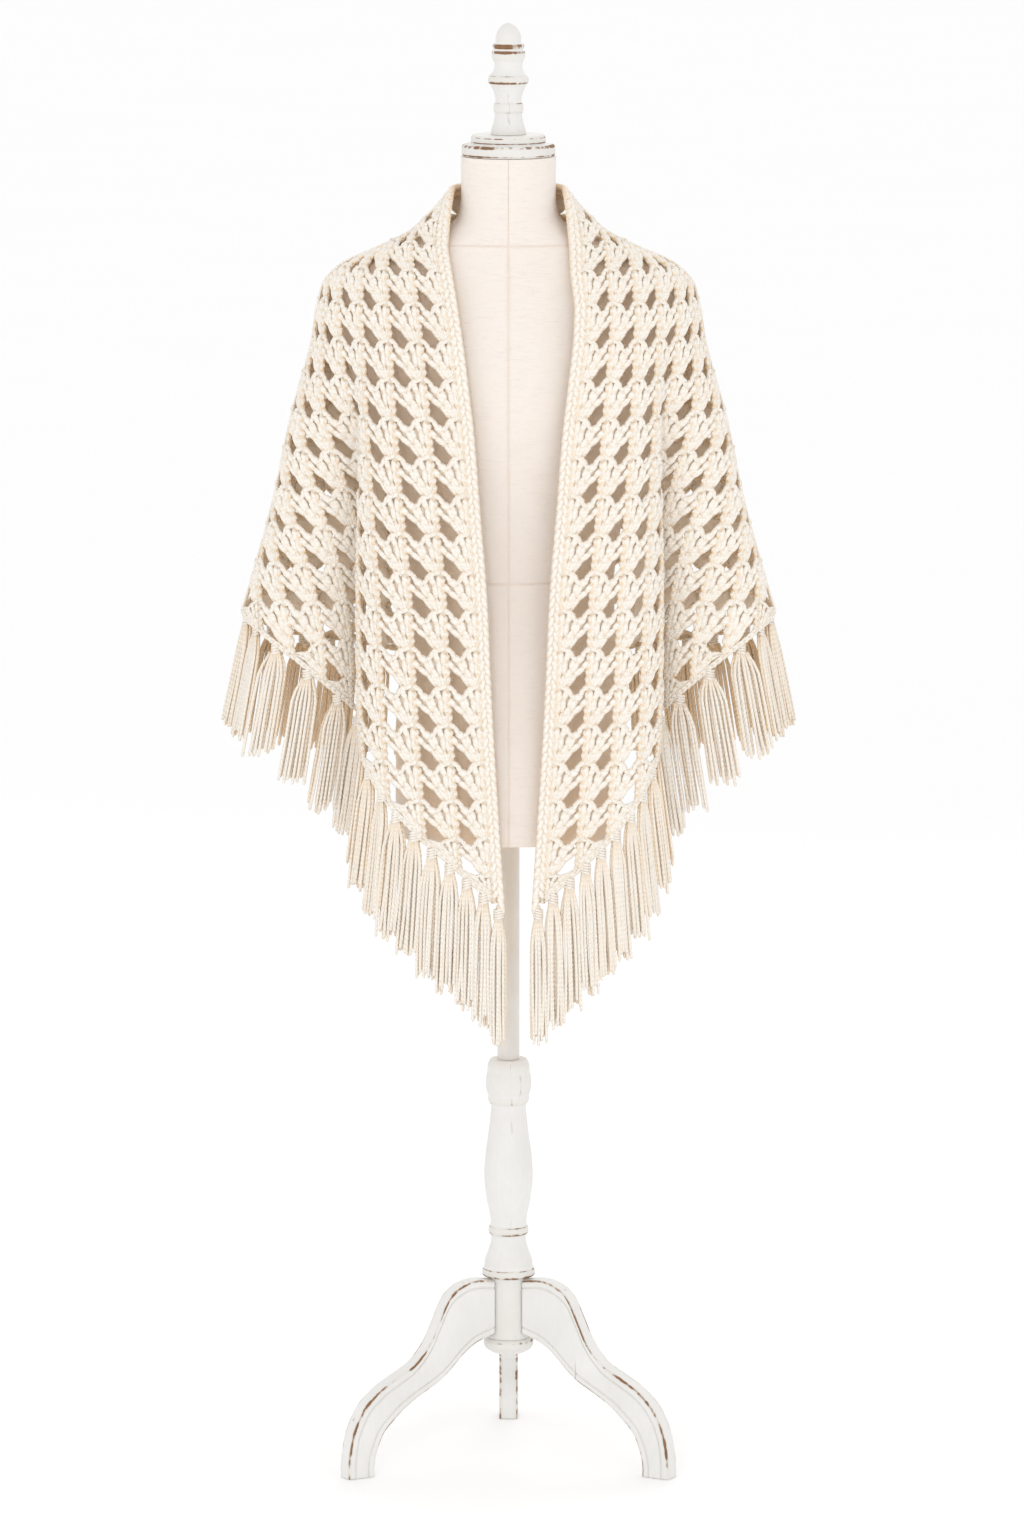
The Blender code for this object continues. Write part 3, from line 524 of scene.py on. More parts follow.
def back_end(column):
    z = WING_TIP_Z
    for _ in range(SETTLE_ROUNDS):
        reach = whole_distance(z) - side_distance(z)
        z = 0.5 * (z + hem_height(BACK_HEM, 1.0, min(column * BACK_PITCH / reach, 1.0)))
    return z


print("hem rises from", front_end(0), "to", WING_TIP_Z, "m in front")

# %% [markdown]
# Where a row's level crosses a column line there is a corner of the net. A column that runs
# into the wing's ridge ends on it, so the cells along the ridge are cut short, as a maker
# works part shells at an edge. The last row ends on the hem.

# %% The net that the shells sit on
ROW_PITCH = 43.0 * MM
PANEL_COLUMNS = 4
MOST_COLUMNS = 40               # more than the cloth has room for
LEAST_ROOM = 0.38               # least share of a cell that is still worked as a cell


def row_levels():
    """Heights of the rows, an even distance apart down the middle of the front panel."""
    z = NECK_Z - np.arange(0, int((NECK_Z - SECTION_Z[0]) / TABLE_STEP)) * TABLE_STEP
    places = np.array([cloth_points(h, front_column(1, h)) for h in z])
    walked = np.concatenate(
        [[0.0], np.cumsum(np.linalg.norm(np.diff(places, axis=0), axis=1))]
    )
    return list(np.interp(np.arange(0.0, walked[-1], ROW_PITCH), walked, z))


LEVELS = row_levels()
SIDE_LINE = [(level, side_distance(level)) for level in LEVELS
             if level >= WING_TIP_Z + LEAST_ROOM * ROW_PITCH]
SIDE_LINE.append((WING_TIP_Z, side_distance(WING_TIP_Z)))
print("rows:", len(SIDE_LINE), "down the wing's side")


def column_lines(place, end, columns):
    """Lines of (height, distance), one down each column, ending on the hem."""
    found = []
    for column in columns:
        line = []
        bottom = end(column)
        for row, level in enumerate(LEVELS):
            if level < bottom + LEAST_ROOM * ROW_PITCH:
                break
            distance = place(column, level)
            room = (side_distance(level) - distance) * (1 if place is front_column else -1)
            if room < LEAST_ROOM * column_pitch(level):
                line.append(SIDE_LINE[min(row, len(SIDE_LINE) - 1)])
            else:
                line.append((level, distance))
        if line[-1] in SIDE_LINE:
            break
        line.append((bottom, place(column, bottom)))
        found.append(line)
    return found


def cells_between(inner, outer, level_threads=False):
    """Cells from one column line to the next, as corners by share across and share down.

    On the back the lace lies on its side, so there the two shares change places.
    """
    shared = min(len(inner), len(outer)) - 1
    cells = [(inner[r], outer[r], outer[r + 1], inner[r + 1]) for r in range(shared)]
    cells += [(inner[r], outer[-1], outer[-1], inner[r + 1])
              for r in range(shared, len(inner) - 1)]
    cells += [(inner[-1], outer[r], outer[r + 1], inner[-1])
              for r in range(shared, len(outer) - 1)]
    cells = [cell for cell in cells if cell[0] != cell[1] or cell[2] != cell[3]]
    if level_threads:
        cells = [(a, d, c, b) for a, b, c, d in cells]
    return cells


def net_cells(found, level_threads=False):
    cells = []
    for inner, outer in zip(found, found[1:]):
        cells += cells_between(inner, outer, level_threads)
    return np.array(cells)


def cell_area(cells):
    corners = cloth_points(cells[..., 0], cells[..., 1])
    diagonals = np.cross(corners[:, 2] - corners[:, 0], corners[:, 3] - corners[:, 1])
    return 0.5 * np.linalg.norm(diagonals, axis=1)


panel_lines = column_lines(front_column, front_end, range(0, PANEL_COLUMNS + 1))
wing_lines = column_lines(front_column, front_end, range(PANEL_COLUMNS, MOST_COLUMNS))
wing_lines.append(SIDE_LINE)
back_lines = column_lines(back_column, back_end, range(0, MOST_COLUMNS))
back_lines.append(SIDE_LINE)
NETS = {
    "front_panel": net_cells(panel_lines),
    "wing": net_cells(wing_lines),
    "back": net_cells(back_lines, level_threads=True),
}
for name, cells in NETS.items():
    print(name, "cells:", len(cells), "area:", round(float(cell_area(cells).sum()), 4), "m2")

# %% [markdown]
# ## One maker for every thread
#
# Each stitch is a short length of yarn, so the whole shawl can be made by one function that
# puts a round skin on a line of points. Blender's curves can do that too, but here each
# thread also has to carry its number of painted shade and its plies, and there are thousands
# of them. So the skin is made with arrays, many threads at a time.
#
# The stored shade number is painted shade. It grows round each thread towards the side that
# lies on the cloth, and it is higher where stitches meet. Thin patches of ground have one
# number of painted shade all over.

# %% Skins round many lines of points at once
THREAD_SIDES = 6
# Painted shade all over the thin ground patches behind the posts.
GROUND_SHADE = 0.3
print("a thread has", THREAD_SIDES, "sides, if nothing else is said")


class Threads:
    """Yarns that become one mesh, on one side of the wearer."""

    def __init__(self, side=1):
        self.side = side
        self.points, self.crease, self.thread = [], [], []
        self.quads, self.caps = [], []
        self.count = 0

    def add(self, centre, radius, out, closed=False, sides=THREAD_SIDES, flat=1.0,
            valleys=None):
        """Lines of centre points, their radii, and the way out of the cloth at each.

        flat squeezes the threads across the cloth, and the shade numbers darken points along
        them, as painted shade.
        """
        centre = np.asarray(centre, float)
        lines, rings = centre.shape[:2]
        radius = np.broadcast_to(np.asarray(radius, float), (lines, rings))
        out = np.broadcast_to(out, centre.shape)
        if closed:
            tangent = np.roll(centre, -1, axis=1) - np.roll(centre, 1, axis=1)
        else:
            tangent = np.gradient(centre, axis=1)
        tangent = unit(tangent)
        across = unit(np.cross(tangent, out))
        up = np.cross(across, tangent)
        angle = math.tau * np.arange(sides) / sides
        skin = (centre[:, :, None]
                + radius[:, :, None, None]
                * (np.cos(angle)[:, None] * across[:, :, None]
                   + np.sin(angle)[:, None] * flat * up[:, :, None]))
        # Painted shade: the side of each thread that faces the cloth is darker.
        inward = np.clip(0.38 - 0.6 * np.sin(angle), 0.0, 0.62)
        crease = np.broadcast_to(inward, (lines, rings, sides)).copy()
        if valleys is not None:
            crease += np.broadcast_to(valleys, (lines, rings))[:, :, None]
        gaps = np.linalg.norm(np.diff(centre, axis=1, append=centre[:, :1]), axis=2)
        along = np.concatenate([np.zeros((lines, 1)), np.cumsum(gaps, axis=1)], axis=1)
        number = self.count + np.arange(lines * rings * sides).reshape(lines, rings, sides)
        steps = rings if closed else rings - 1
        a = number[:, np.arange(steps)]
        b = number[:, (np.arange(steps) + 1) % rings]
        quads = np.stack([a, np.roll(a, -1, axis=2), np.roll(b, -1, axis=2), b], axis=-1)
        u0 = np.broadcast_to(np.arange(sides) / sides, a.shape)
        v0 = np.broadcast_to(along[:, :steps, None], a.shape)
        v1 = np.broadcast_to(along[:, 1:steps + 1, None], a.shape)
        u1 = u0 + 1 / sides
        thread = np.stack([u0, v0, u1, v0, u1, v1, u0, v1], axis=-1)
        self.quads.append(quads.reshape(-1, 4))
        self.thread.append(thread.reshape(-1, 2))
        if not closed:
            ends = np.concatenate([number[:, 0, ::-1], number[:, -1]])
            self.caps.append(ends)
        self.points.append(skin.reshape(-1, 3))
        self.crease.append(np.clip(crease, 0.0, 1.0).reshape(-1))
        self.count += lines * rings * sides

    def add_points(self, points):
        """Loose points of thin patches, one set for each cell."""
        self.points.append(points.reshape(-1, 3))
        self.crease.append(np.full(points.shape[0] * points.shape[1], GROUND_SHADE))

    def add_patches(self, front, ring, after, cells, each):
        """Faces between the two sets of points that add_points put in last."""
        first = self.count + np.arange(cells)[:, None, None] * each
        back = first + cells * each
        walls = np.stack([after, ring], axis=-1)[None]
        self.quads += [
            (front[None] + first).reshape(-1, 4),
            (front[None, :, ::-1] + back).reshape(-1, 4),
            np.concatenate([walls[..., ::-1] + back, walls + first],
                           axis=-1).reshape(-1, 4),
        ]
        faces = cells * (2 * len(front) + len(ring))
        self.thread.append(np.zeros((4 * faces, 2)))
        self.count += 2 * cells * each

    def piece(self, name, material):
        """The mesh object of all the threads so far."""
        points = np.concatenate(self.points)
        points[:, 0] *= self.side
        points[:, 1] += AXIS_Y
        quads = np.concatenate(self.quads)
        thread = np.concatenate(self.thread)
        faces = [quads] + self.caps
        if self.side < 0:
            faces = [face[:, ::-1] for face in faces]
            thread = thread.reshape(-1, 4, 2)[:, ::-1].reshape(-1, 2)
        corners = np.concatenate([face.reshape(-1) for face in faces])
        sizes = np.concatenate([np.full(len(face), face.shape[1]) for face in faces])
        mesh = bpy.data.meshes.new(name)
        mesh.vertices.add(len(points))
        mesh.vertices.foreach_set("co", points.reshape(-1))
        mesh.loops.add(len(corners))
        mesh.loops.foreach_set("vertex_index", corners)
        mesh.polygons.add(len(sizes))
        mesh.polygons.foreach_set("loop_start", np.concatenate([[0], np.cumsum(sizes)[:-1]]))
        mesh.update(calc_edges=True)
        place = mesh.uv_layers.new(name="thread")
        uv = np.zeros((len(corners), 2))
        uv[:len(thread)] = thread
        place.data.foreach_set("uv", uv.reshape(-1))
        number = mesh.attributes.new("crease", "FLOAT", "POINT")
        number.data.foreach_set("value", np.concatenate(self.crease))
        mesh.shade_smooth()
        mesh.materials.append(material)
        mesh.validate()
        made = bpy.data.objects.new(name, mesh)
        bpy.context.scene.collection.objects.link(made)
        print(name, "triangles:", 2 * len(quads) + sum(
            len(face) * (face.shape[1] - 2) for face in faces[1:]))
        return made


# %% [markdown]
# ## One shell of the lace
#
# A shell is a fan of five puffy posts that rise from one point beside a column line. Along
# their tops runs a row of small stitches, and on the column line a pair of threads winds up.
# Under the fan the lace is open. All of it is drawn once, in shares of a cell, and then
# laid into every cell of a net, so it bends and narrows with the cloth.

# %% Lay a drawing into the cells of a net
LEAST_SIZE = 0.42
MOST_SIZE = 1.12
print("stitches keep between", LEAST_SIZE, "and", MOST_SIZE, "of their full size")


def lay(cells, share, height, side):
    """Points of a drawing in all cells: their places, the ways out and the local scale.

    share holds (across, down) of each point, and height its distance out of the cloth.
    """
    share = np.asarray(share, float)
    across, down = share[..., 0], share[..., 1]
    weights = np.stack([(1 - across) * (1 - down), across * (1 - down), across * down,
                        (1 - across) * down], axis=-1)
    place = np.einsum("...k,nkc->n...c", weights, cells)
    out = cloth_normals(place[..., 0], place[..., 1])
    points = cloth_points(place[..., 0], place[..., 1], side)
    corners = cloth_points(cells[..., 0], cells[..., 1])
    top, low = corners[:, 1] - corners[:, 0], corners[:, 2] - corners[:, 3]
    left, right = corners[:, 3] - corners[:, 0], corners[:, 2] - corners[:, 1]
    extra = (1,) * across.ndim
    top, low, left, right = (edge.reshape(len(cells), *extra, 3)
                             for edge in (top, low, left, right))
    d = np.clip(down, 0.0, 1.0)[None, ..., None]
    a = np.clip(across, 0.0, 1.0)[None, ..., None]
    wide = np.linalg.norm(top * (1 - d) + low * d, axis=-1)
    tall = np.linalg.norm(left * (1 - a) + right * a, axis=-1)
    size = np.sqrt(wide / COLUMN_PITCH * tall / ROW_PITCH)
    size = np.clip(size, LEAST_SIZE, MOST_SIZE)
    points = points + out * np.asarray(height)[..., None] * size[..., None]
    return points, out, size


# %% The ground of a fan
# Five lines rise from the foot of the fan to its top edge, which is the rim of the gap above
POST_FEET = np.array([(0.04, 0.97), (0.10, 0.98), (0.15, 0.98), (0.20, 0.96), (0.26, 0.92)])
POST_TOPS = np.array([(0.08, -0.05), (0.30, -0.01), (0.52, 0.19), (0.75, 0.10), (0.98, 0.22)])
POST_BEND = np.array([(0.0, 0.0), (-0.02, 0.0), (-0.01, -0.03), (0.0, -0.07), (0.04, -0.08)])
GROUND_SINK = 0.7 * MM
GROUND_HALF = 0.6 * MM
GROUND_TOP = 0.95
GROUND_ROWS = 5
print("posts in a fan:", len(POST_FEET))


def post_lines(place):
    """The five lines of a fan, in shares of the cell, at places from foot to top."""
    q = np.asarray(place)[None, :, None]
    line = POST_FEET[:, None] * (1 - q) + POST_TOPS[:, None] * q
    return line + POST_BEND[:, None] * np.sin(math.pi * q)


def add_ground(threads, cells):
    """A thin closed patch behind each fan, so that no light passes between its posts."""
    place = np.linspace(0.0, GROUND_TOP, GROUND_ROWS)
    lines = post_lines(place)
    posts, rows = lines.shape[:2]
    for sink in (GROUND_HALF, -GROUND_HALF):
        points, _, _ = lay(cells, lines, np.full((posts, rows), sink - GROUND_SINK),
                           threads.side)
        threads.add_points(points.reshape(len(cells), -1, 3))
    number = np.arange(posts * rows).reshape(posts, rows)
    a, b = number[:-1, :-1], number[1:, :-1]
    c, d = number[1:, 1:], number[:-1, 1:]
    front = np.stack([a, b, c, d], axis=-1).reshape(-1, 4)
    ring = np.concatenate([number[:, 0], number[-1, 1:], number[-2::-1, -1], number[0, -2:0:-1]])
    after = np.roll(ring, -1)
    threads.add_patches(front, ring, after, len(cells), posts * rows)


# %% The posts of a fan
# Each post is three plump stitches, one over the other. Posts beside each other are shifted,
# so that their stitches lie in each other's hollows.
GRAIN_PLACE = np.array([0.0, 0.14, 0.40, 0.68, 0.90, 1.0])
GRAIN_SHAPE = np.array([0.30, 0.78, 1.0, 1.0, 0.74, 0.28])
# Painted shade at both ends of each stitch, where it meets the next one.
GRAIN_VALLEY_SHADE = np.array([0.75, 0.25, 0.0, 0.0, 0.20, 0.70])
GRAIN_STARTS = ((0.02, 0.30, 0.62), (0.02, 0.40, 0.70))
GRAIN_LENGTH = (0.42, 0.42, 0.38)
GRAIN_RADIUS = (2.8 * MM, 3.7 * MM, 4.0 * MM)
GRAIN_SLANT = 0.050
GRAIN_LIFT = (0.2 * MM, 0.5 * MM, 0.7 * MM)
GRAIN_RISE = 0.9 * MM
SECOND_LIFT = 0.3 * MM          # every second post stands out this much further
print("stitches in a post:", len(GRAIN_LENGTH))


def add_posts(threads, cells):
    lines, heights, radii = [], [], []
    for number in range(len(POST_FEET)):
        starts = GRAIN_STARTS[number % 2]
        for rank, (start, length) in enumerate(zip(starts, GRAIN_LENGTH)):
            place = np.clip(start + GRAIN_PLACE * length, 0.0, 1.02)
            line = post_lines(place)[number]
            way = 1.0 if (number + rank) % 2 else -1.0
            line = line + np.outer(way * GRAIN_SLANT * (GRAIN_PLACE - 0.5), (1.0, 0.5))
            lines.append(line)
            heights.append(GRAIN_LIFT[rank] + GRAIN_RISE * np.sin(math.pi * GRAIN_PLACE)
                           + (SECOND_LIFT if number % 2 else 0.0))
            radii.append(GRAIN_RADIUS[rank] * GRAIN_SHAPE)
    points, out, size = lay(cells, np.array(lines), np.array(heights), threads.side)
    rings = len(GRAIN_PLACE)
    radius = np.array(radii) * size
    threads.add(points.reshape(-1, rings, 3), radius.reshape(-1, rings),
                out.reshape(-1, rings, 3), valleys=GRAIN_VALLEY_SHADE, sides=5, flat=0.82)


# %% The small stitches along a fan's top edge
RIM_LINE = [(0.97, -0.14), (0.80, 0.02), (0.57, 0.20), (0.44, 0.09), (0.29, -0.06),
            (0.03, -0.12)]
RIM_STITCHES = 7
RIM_RADIUS = 3.2 * MM
RIM_SLANT = 1.6 * MM
RIM_LIFT = 1.1 * MM
RIM_RISE = 0.7 * MM
print("stitches along a fan's top:", RIM_STITCHES)


def stitches_on(line, count, slant, overlap=1.45):
    """Plump stitches one after the other along a line of shares, each a little aslant."""
    line = np.asarray(line, float)
    scale = np.array((COLUMN_PITCH, ROW_PITCH))
    steps = np.linalg.norm(np.diff(line * scale, axis=0), axis=1)
    along = np.concatenate([[0.0], np.cumsum(steps)]) / steps.sum()
    drawn = []
    for number in range(count):
        place = (number + GRAIN_PLACE * overlap - 0.2) / count
        centre = np.stack([np.interp(place, along, line[:, 0]),
                           np.interp(place, along, line[:, 1])], axis=1)
        run = np.stack([np.gradient(centre[:, 0]), np.gradient(centre[:, 1])], axis=1) * scale
        run = run / np.maximum(np.linalg.norm(run, axis=1, keepdims=True), 1e-9)
        aside = np.stack([-run[:, 1], run[:, 0]], axis=1) / scale
        way = 1.0 if number % 2 else -1.0
        drawn.append(centre + aside * (way * slant * (1.0 - 2.0 * GRAIN_PLACE))[:, None])
    return np.array(drawn)


def add_rims(threads, cells):
    drawn = stitches_on(RIM_LINE, RIM_STITCHES, RIM_SLANT)
    height = RIM_LIFT + RIM_RISE * np.sin(math.pi * GRAIN_PLACE)
    points, out, size = lay(cells, drawn, np.broadcast_to(height, drawn.shape[:2]), threads.side)
    rings = len(GRAIN_PLACE)
    radius = RIM_RADIUS * GRAIN_SHAPE * size
    threads.add(points.reshape(-1, rings, 3), radius.reshape(-1, rings),
                out.reshape(-1, rings, 3), valleys=GRAIN_VALLEY_SHADE, sides=5, flat=0.85)


# %% The pair of threads that winds along each column line
CORD_PLACE = np.linspace(0.0, 1.0, 11)
CORD_RADIUS = 3.1 * MM
CORD_SWING = 2.1 * MM
CORD_LIFT = 0.7 * MM
CORD_TURNS = 2.5
print("turns of the two threads in a cell:", CORD_TURNS)


def add_cords(threads, cells):
    drawn, heights = [], []
    for turn in (0.0, 0.5):
        wind = math.tau * (CORD_TURNS * CORD_PLACE + turn)
        drawn.append(np.stack([CORD_SWING * np.sin(wind) / COLUMN_PITCH, CORD_PLACE], axis=1))
        heights.append(CORD_LIFT + 1.1 * MM * np.cos(wind))
    points, out, size = lay(cells, np.array(drawn), np.array(heights), threads.side)
    rings = len(CORD_PLACE)
    radius = CORD_RADIUS * np.clip(size, 0.8, 1.0)
    # Painted shade where the two threads cross each other.
    valley = 0.3 + 0.3 * np.cos(math.tau * 2 * CORD_TURNS * CORD_PLACE)
    threads.add(points.reshape(-1, rings, 3), radius.reshape(-1, rings),
                out.reshape(-1, rings, 3), valleys=valley, sides=5)


# %% [markdown]
# Along the hem and the free edges the lace ends in one more chain. It follows the ends of
# the column lines, so it steps with the hem.

# %% A chain along any line on the cloth
STITCH_PLACE = np.array([0.0, 0.12, 0.4, 0.7, 0.92, 1.0])
STITCH_SHAPE = np.array([0.35, 0.8, 1.0, 0.95, 0.7, 0.3])
# Painted shade at both ends of each chain stitch, where it meets the next one.
STITCH_VALLEY_SHADE = np.array([0.6, 0.25, 0.0, 0.0, 0.3, 0.6])
EDGE_STITCH = 7.5 * MM
EDGE_RISE = 0.8 * MM
print("a stitch of the edge chain is", EDGE_STITCH, "m long")


def add_edge_chain(threads, line, radius=2.1 * MM, half=2.0 * MM, lift=0.8 * MM):
    """Slanting pairs of stitches along a line of (height, distance)."""
    line = np.array(line, float)
    fine = np.linspace(0, len(line) - 1, 12 * (len(line) - 1) + 1)
    z = np.interp(fine, np.arange(len(line)), line[:, 0])
    d = np.interp(fine, np.arange(len(line)), line[:, 1])
    places = cloth_points(z, d, threads.side)
    walked = np.concatenate(
        [[0.0], np.cumsum(np.linalg.norm(np.diff(places, axis=0), axis=1))])
    count = max(2, int(round(walked[-1] / EDGE_STITCH)))
    starts = np.arange(count)[:, None] / count
    at = np.clip(starts + STITCH_PLACE[None] * 1.35 / count, 0.0, 1.0) * walked[-1]
    z = np.interp(at, walked, z)
    d = np.interp(at, walked, d)
    out = cloth_normals(z, d)
    centre = cloth_points(z, d, threads.side) + out * (
        lift + EDGE_RISE * np.sin(math.pi * STITCH_PLACE)[None, :, None])
    aside = unit(np.cross(np.gradient(centre, axis=1), out))
    for way in (-1, 1):
        spread = way * half * (1.0 - 0.75 * STITCH_PLACE)
        threads.add(centre + aside * spread[None, :, None], radius * STITCH_SHAPE[None],
                    out, valleys=STITCH_VALLEY_SHADE, sides=5)


# %% Make the lace of both sides
SIDES = {"left": 1, "right": -1}
LINES = {"front_panel": panel_lines, "wing": wing_lines, "back": back_lines}
lace_pieces = {}
for word, side in SIDES.items():
    for part, cells in NETS.items():
        ground = Threads(side)
        add_ground(ground, cells)
        add_cords(ground, cells)
        stitches = Threads(side)
        add_posts(stitches, cells)
        add_rims(stitches, cells)
        add_edge_chain(stitches, [line[-1] for line in LINES[part]])
        if part == "wing":
            add_edge_chain(stitches, SIDE_LINE)
        key = f"{part}_{word}"
        lace_pieces[key] = (ground.piece("lace_" + key, crochet_yarn),
                            stitches.piece("stitches_" + key, crochet_yarn))

# %% [markdown]
# ## The chain band
#
# The long edge is bound by two rows of chain. They run from the front point up to the neck
# and round behind it. Each stitch is one plump slanting thread, so the band reads as a
# plait. A flat core lies under each row, because a real chain is closed behind.

# %% The band's rows, from the front point to the centre back
BAND_TURN = np.array([(62.5, -20.0, 1443.0), (60.5, -9.0, 1452.0)]) * MM
NECK_BAND_STEPS = 10
NECK_BAND_TOP = 1.4555


def band_rows(side):
    """Free edge, lace edge and way out, row by row, as three arrays."""
    bottom = front_end(0)
    heights = [z for z in LEVELS[1:] if z >= bottom + LEAST_ROOM * ROW_PITCH] + [bottom]
    free, laced, out = [], [], []
    for z in reversed(heights):
        free_z = hem_height(FRONT_HEM, MM, 0.0) if z == bottom else z
        free.append(cloth_points(free_z, 0.0, side))
        laced.append(cloth_points(z, BAND_WIDTH, side))
        out.append(cloth_normals(z, BAND_WIDTH))
    corner = cloth_points(NECK_Z, BAND_WIDTH, side)
    corner_out = cloth_normals(NECK_Z, BAND_WIDTH)
    free += [BAND_TURN[0], BAND_TURN[1]]
    laced += [0.5 * (laced[-1] + corner), corner]
    out += [unit(out[-1] + corner_out), corner_out]
    for step in range(1, NECK_BAND_STEPS + 1):
        share = step / NECK_BAND_STEPS
        reach = [whole_distance(z) - BAND_WIDTH for z in (NECK_Z, NECK_BAND_TOP)]
        laced.append(cloth_points(NECK_Z, BAND_WIDTH + reach[0] * share))
        free.append(cloth_points(NECK_BAND_TOP, BAND_WIDTH + reach[1] * share))
        out.append(cloth_normals(NECK_Z, BAND_WIDTH + reach[0] * share))
    return np.array(free), np.array(laced), np.array(out)


BAND_STITCH = 11.0 * MM
BAND_CHAINS = (0.22, 0.78)
BAND_RADIUS = 3.5 * MM


def add_band(threads):
    free, laced, out = band_rows(threads.side)
    middle = 0.5 * (free + laced)
    walked = np.concatenate(
        [[0.0], np.cumsum(np.linalg.norm(np.diff(middle, axis=0), axis=1))])
    keys = np.concatenate([free, laced, out], axis=1)

    def at(place):
        """Free edge, lace edge and way out at that distance along the band."""
        place = np.clip(place, 0.0, walked[-1])
        found = np.stack([np.interp(place, walked, column) for column in keys.T], axis=-1)
        return found[..., 0:3], found[..., 3:6], unit(found[..., 6:9])

    count = int(round(walked[-1] / BAND_STITCH))
    pitch = walked[-1] / count
    lift = 0.6 * MM + 1.1 * MM * np.sin(math.pi * STITCH_PLACE)
    for chain, way, late in zip(BAND_CHAINS, (-1, 1), (0.0, 0.5)):
        place = (np.arange(count)[:, None] + late + STITCH_PLACE[None] * 1.45) * pitch
        start, end, normal = at(place)
        width = chain + way * (0.10 - 0.34 * STITCH_PLACE)
        centre = start + (end - start) * width[None, :, None] + normal * lift[:, None]
        threads.add(centre, BAND_RADIUS * STITCH_SHAPE[None], normal,
                    valleys=STITCH_VALLEY_SHADE)
        place_core = np.linspace(0.0, walked[-1], count)
        start_core, end_core, normal_core = at(place_core)
        centre = start_core + (end_core - start_core) * chain - normal_core * 0.6 * MM
        # The core under each row gets painted shade all along.
        threads.add(centre[None], 3.6 * MM, normal_core[None], flat=0.5,
                    valleys=0.35 * np.ones(len(place_core)))


bands = {}
for word, side in SIDES.items():
    threads = Threads(side)
    add_band(threads)
    bands[word] = threads.piece("chain_band_" + word, crochet_yarn)

# %% [markdown]
# ## The fringe
#
# A tassel is a bundle of straight yarns, drawn through the hem and bound below it. It hangs
# from its binding, so the yarns spread a little and then fall straight. On the wings the
# bundles lean outwards with the cloth.

# %% One tassel at each place along the hem
TASSEL_PITCH = 31.0 * MM
SPREAD_WING = 0.20
SPREAD_FRONT = 0.04
SPREAD_BACK = 0.06
LENGTH_WING = 112.0 * MM
LENGTH_FRONT = 140.0 * MM
LENGTH_BACK = 118.0 * MM
YARNS = 12
YARN_RADIUS = 1.95 * MM
KNOT_DROP = 11.0 * MM
draw = np.random.default_rng(7)


def tassel_places(line, side):
    """Middle, run and way out of each tassel along a hem line, with its share of the way."""
    line = np.array(line, float)
    points = cloth_points(line[:, 0], line[:, 1], side)
    outs = cloth_normals(line[:, 0], line[:, 1])
    found = []
    for start, end, out0, out1 in zip(points, points[1:], outs, outs[1:]):
        count = max(1, round(float(np.linalg.norm(end - start)) / TASSEL_PITCH))
        for tassel in range(count):
            t = (tassel + 0.5) / count
            found.append((start + (end - start) * t, (end - start) / count,
                          unit(out0 * (1 - t) + out1 * t)))
    return found


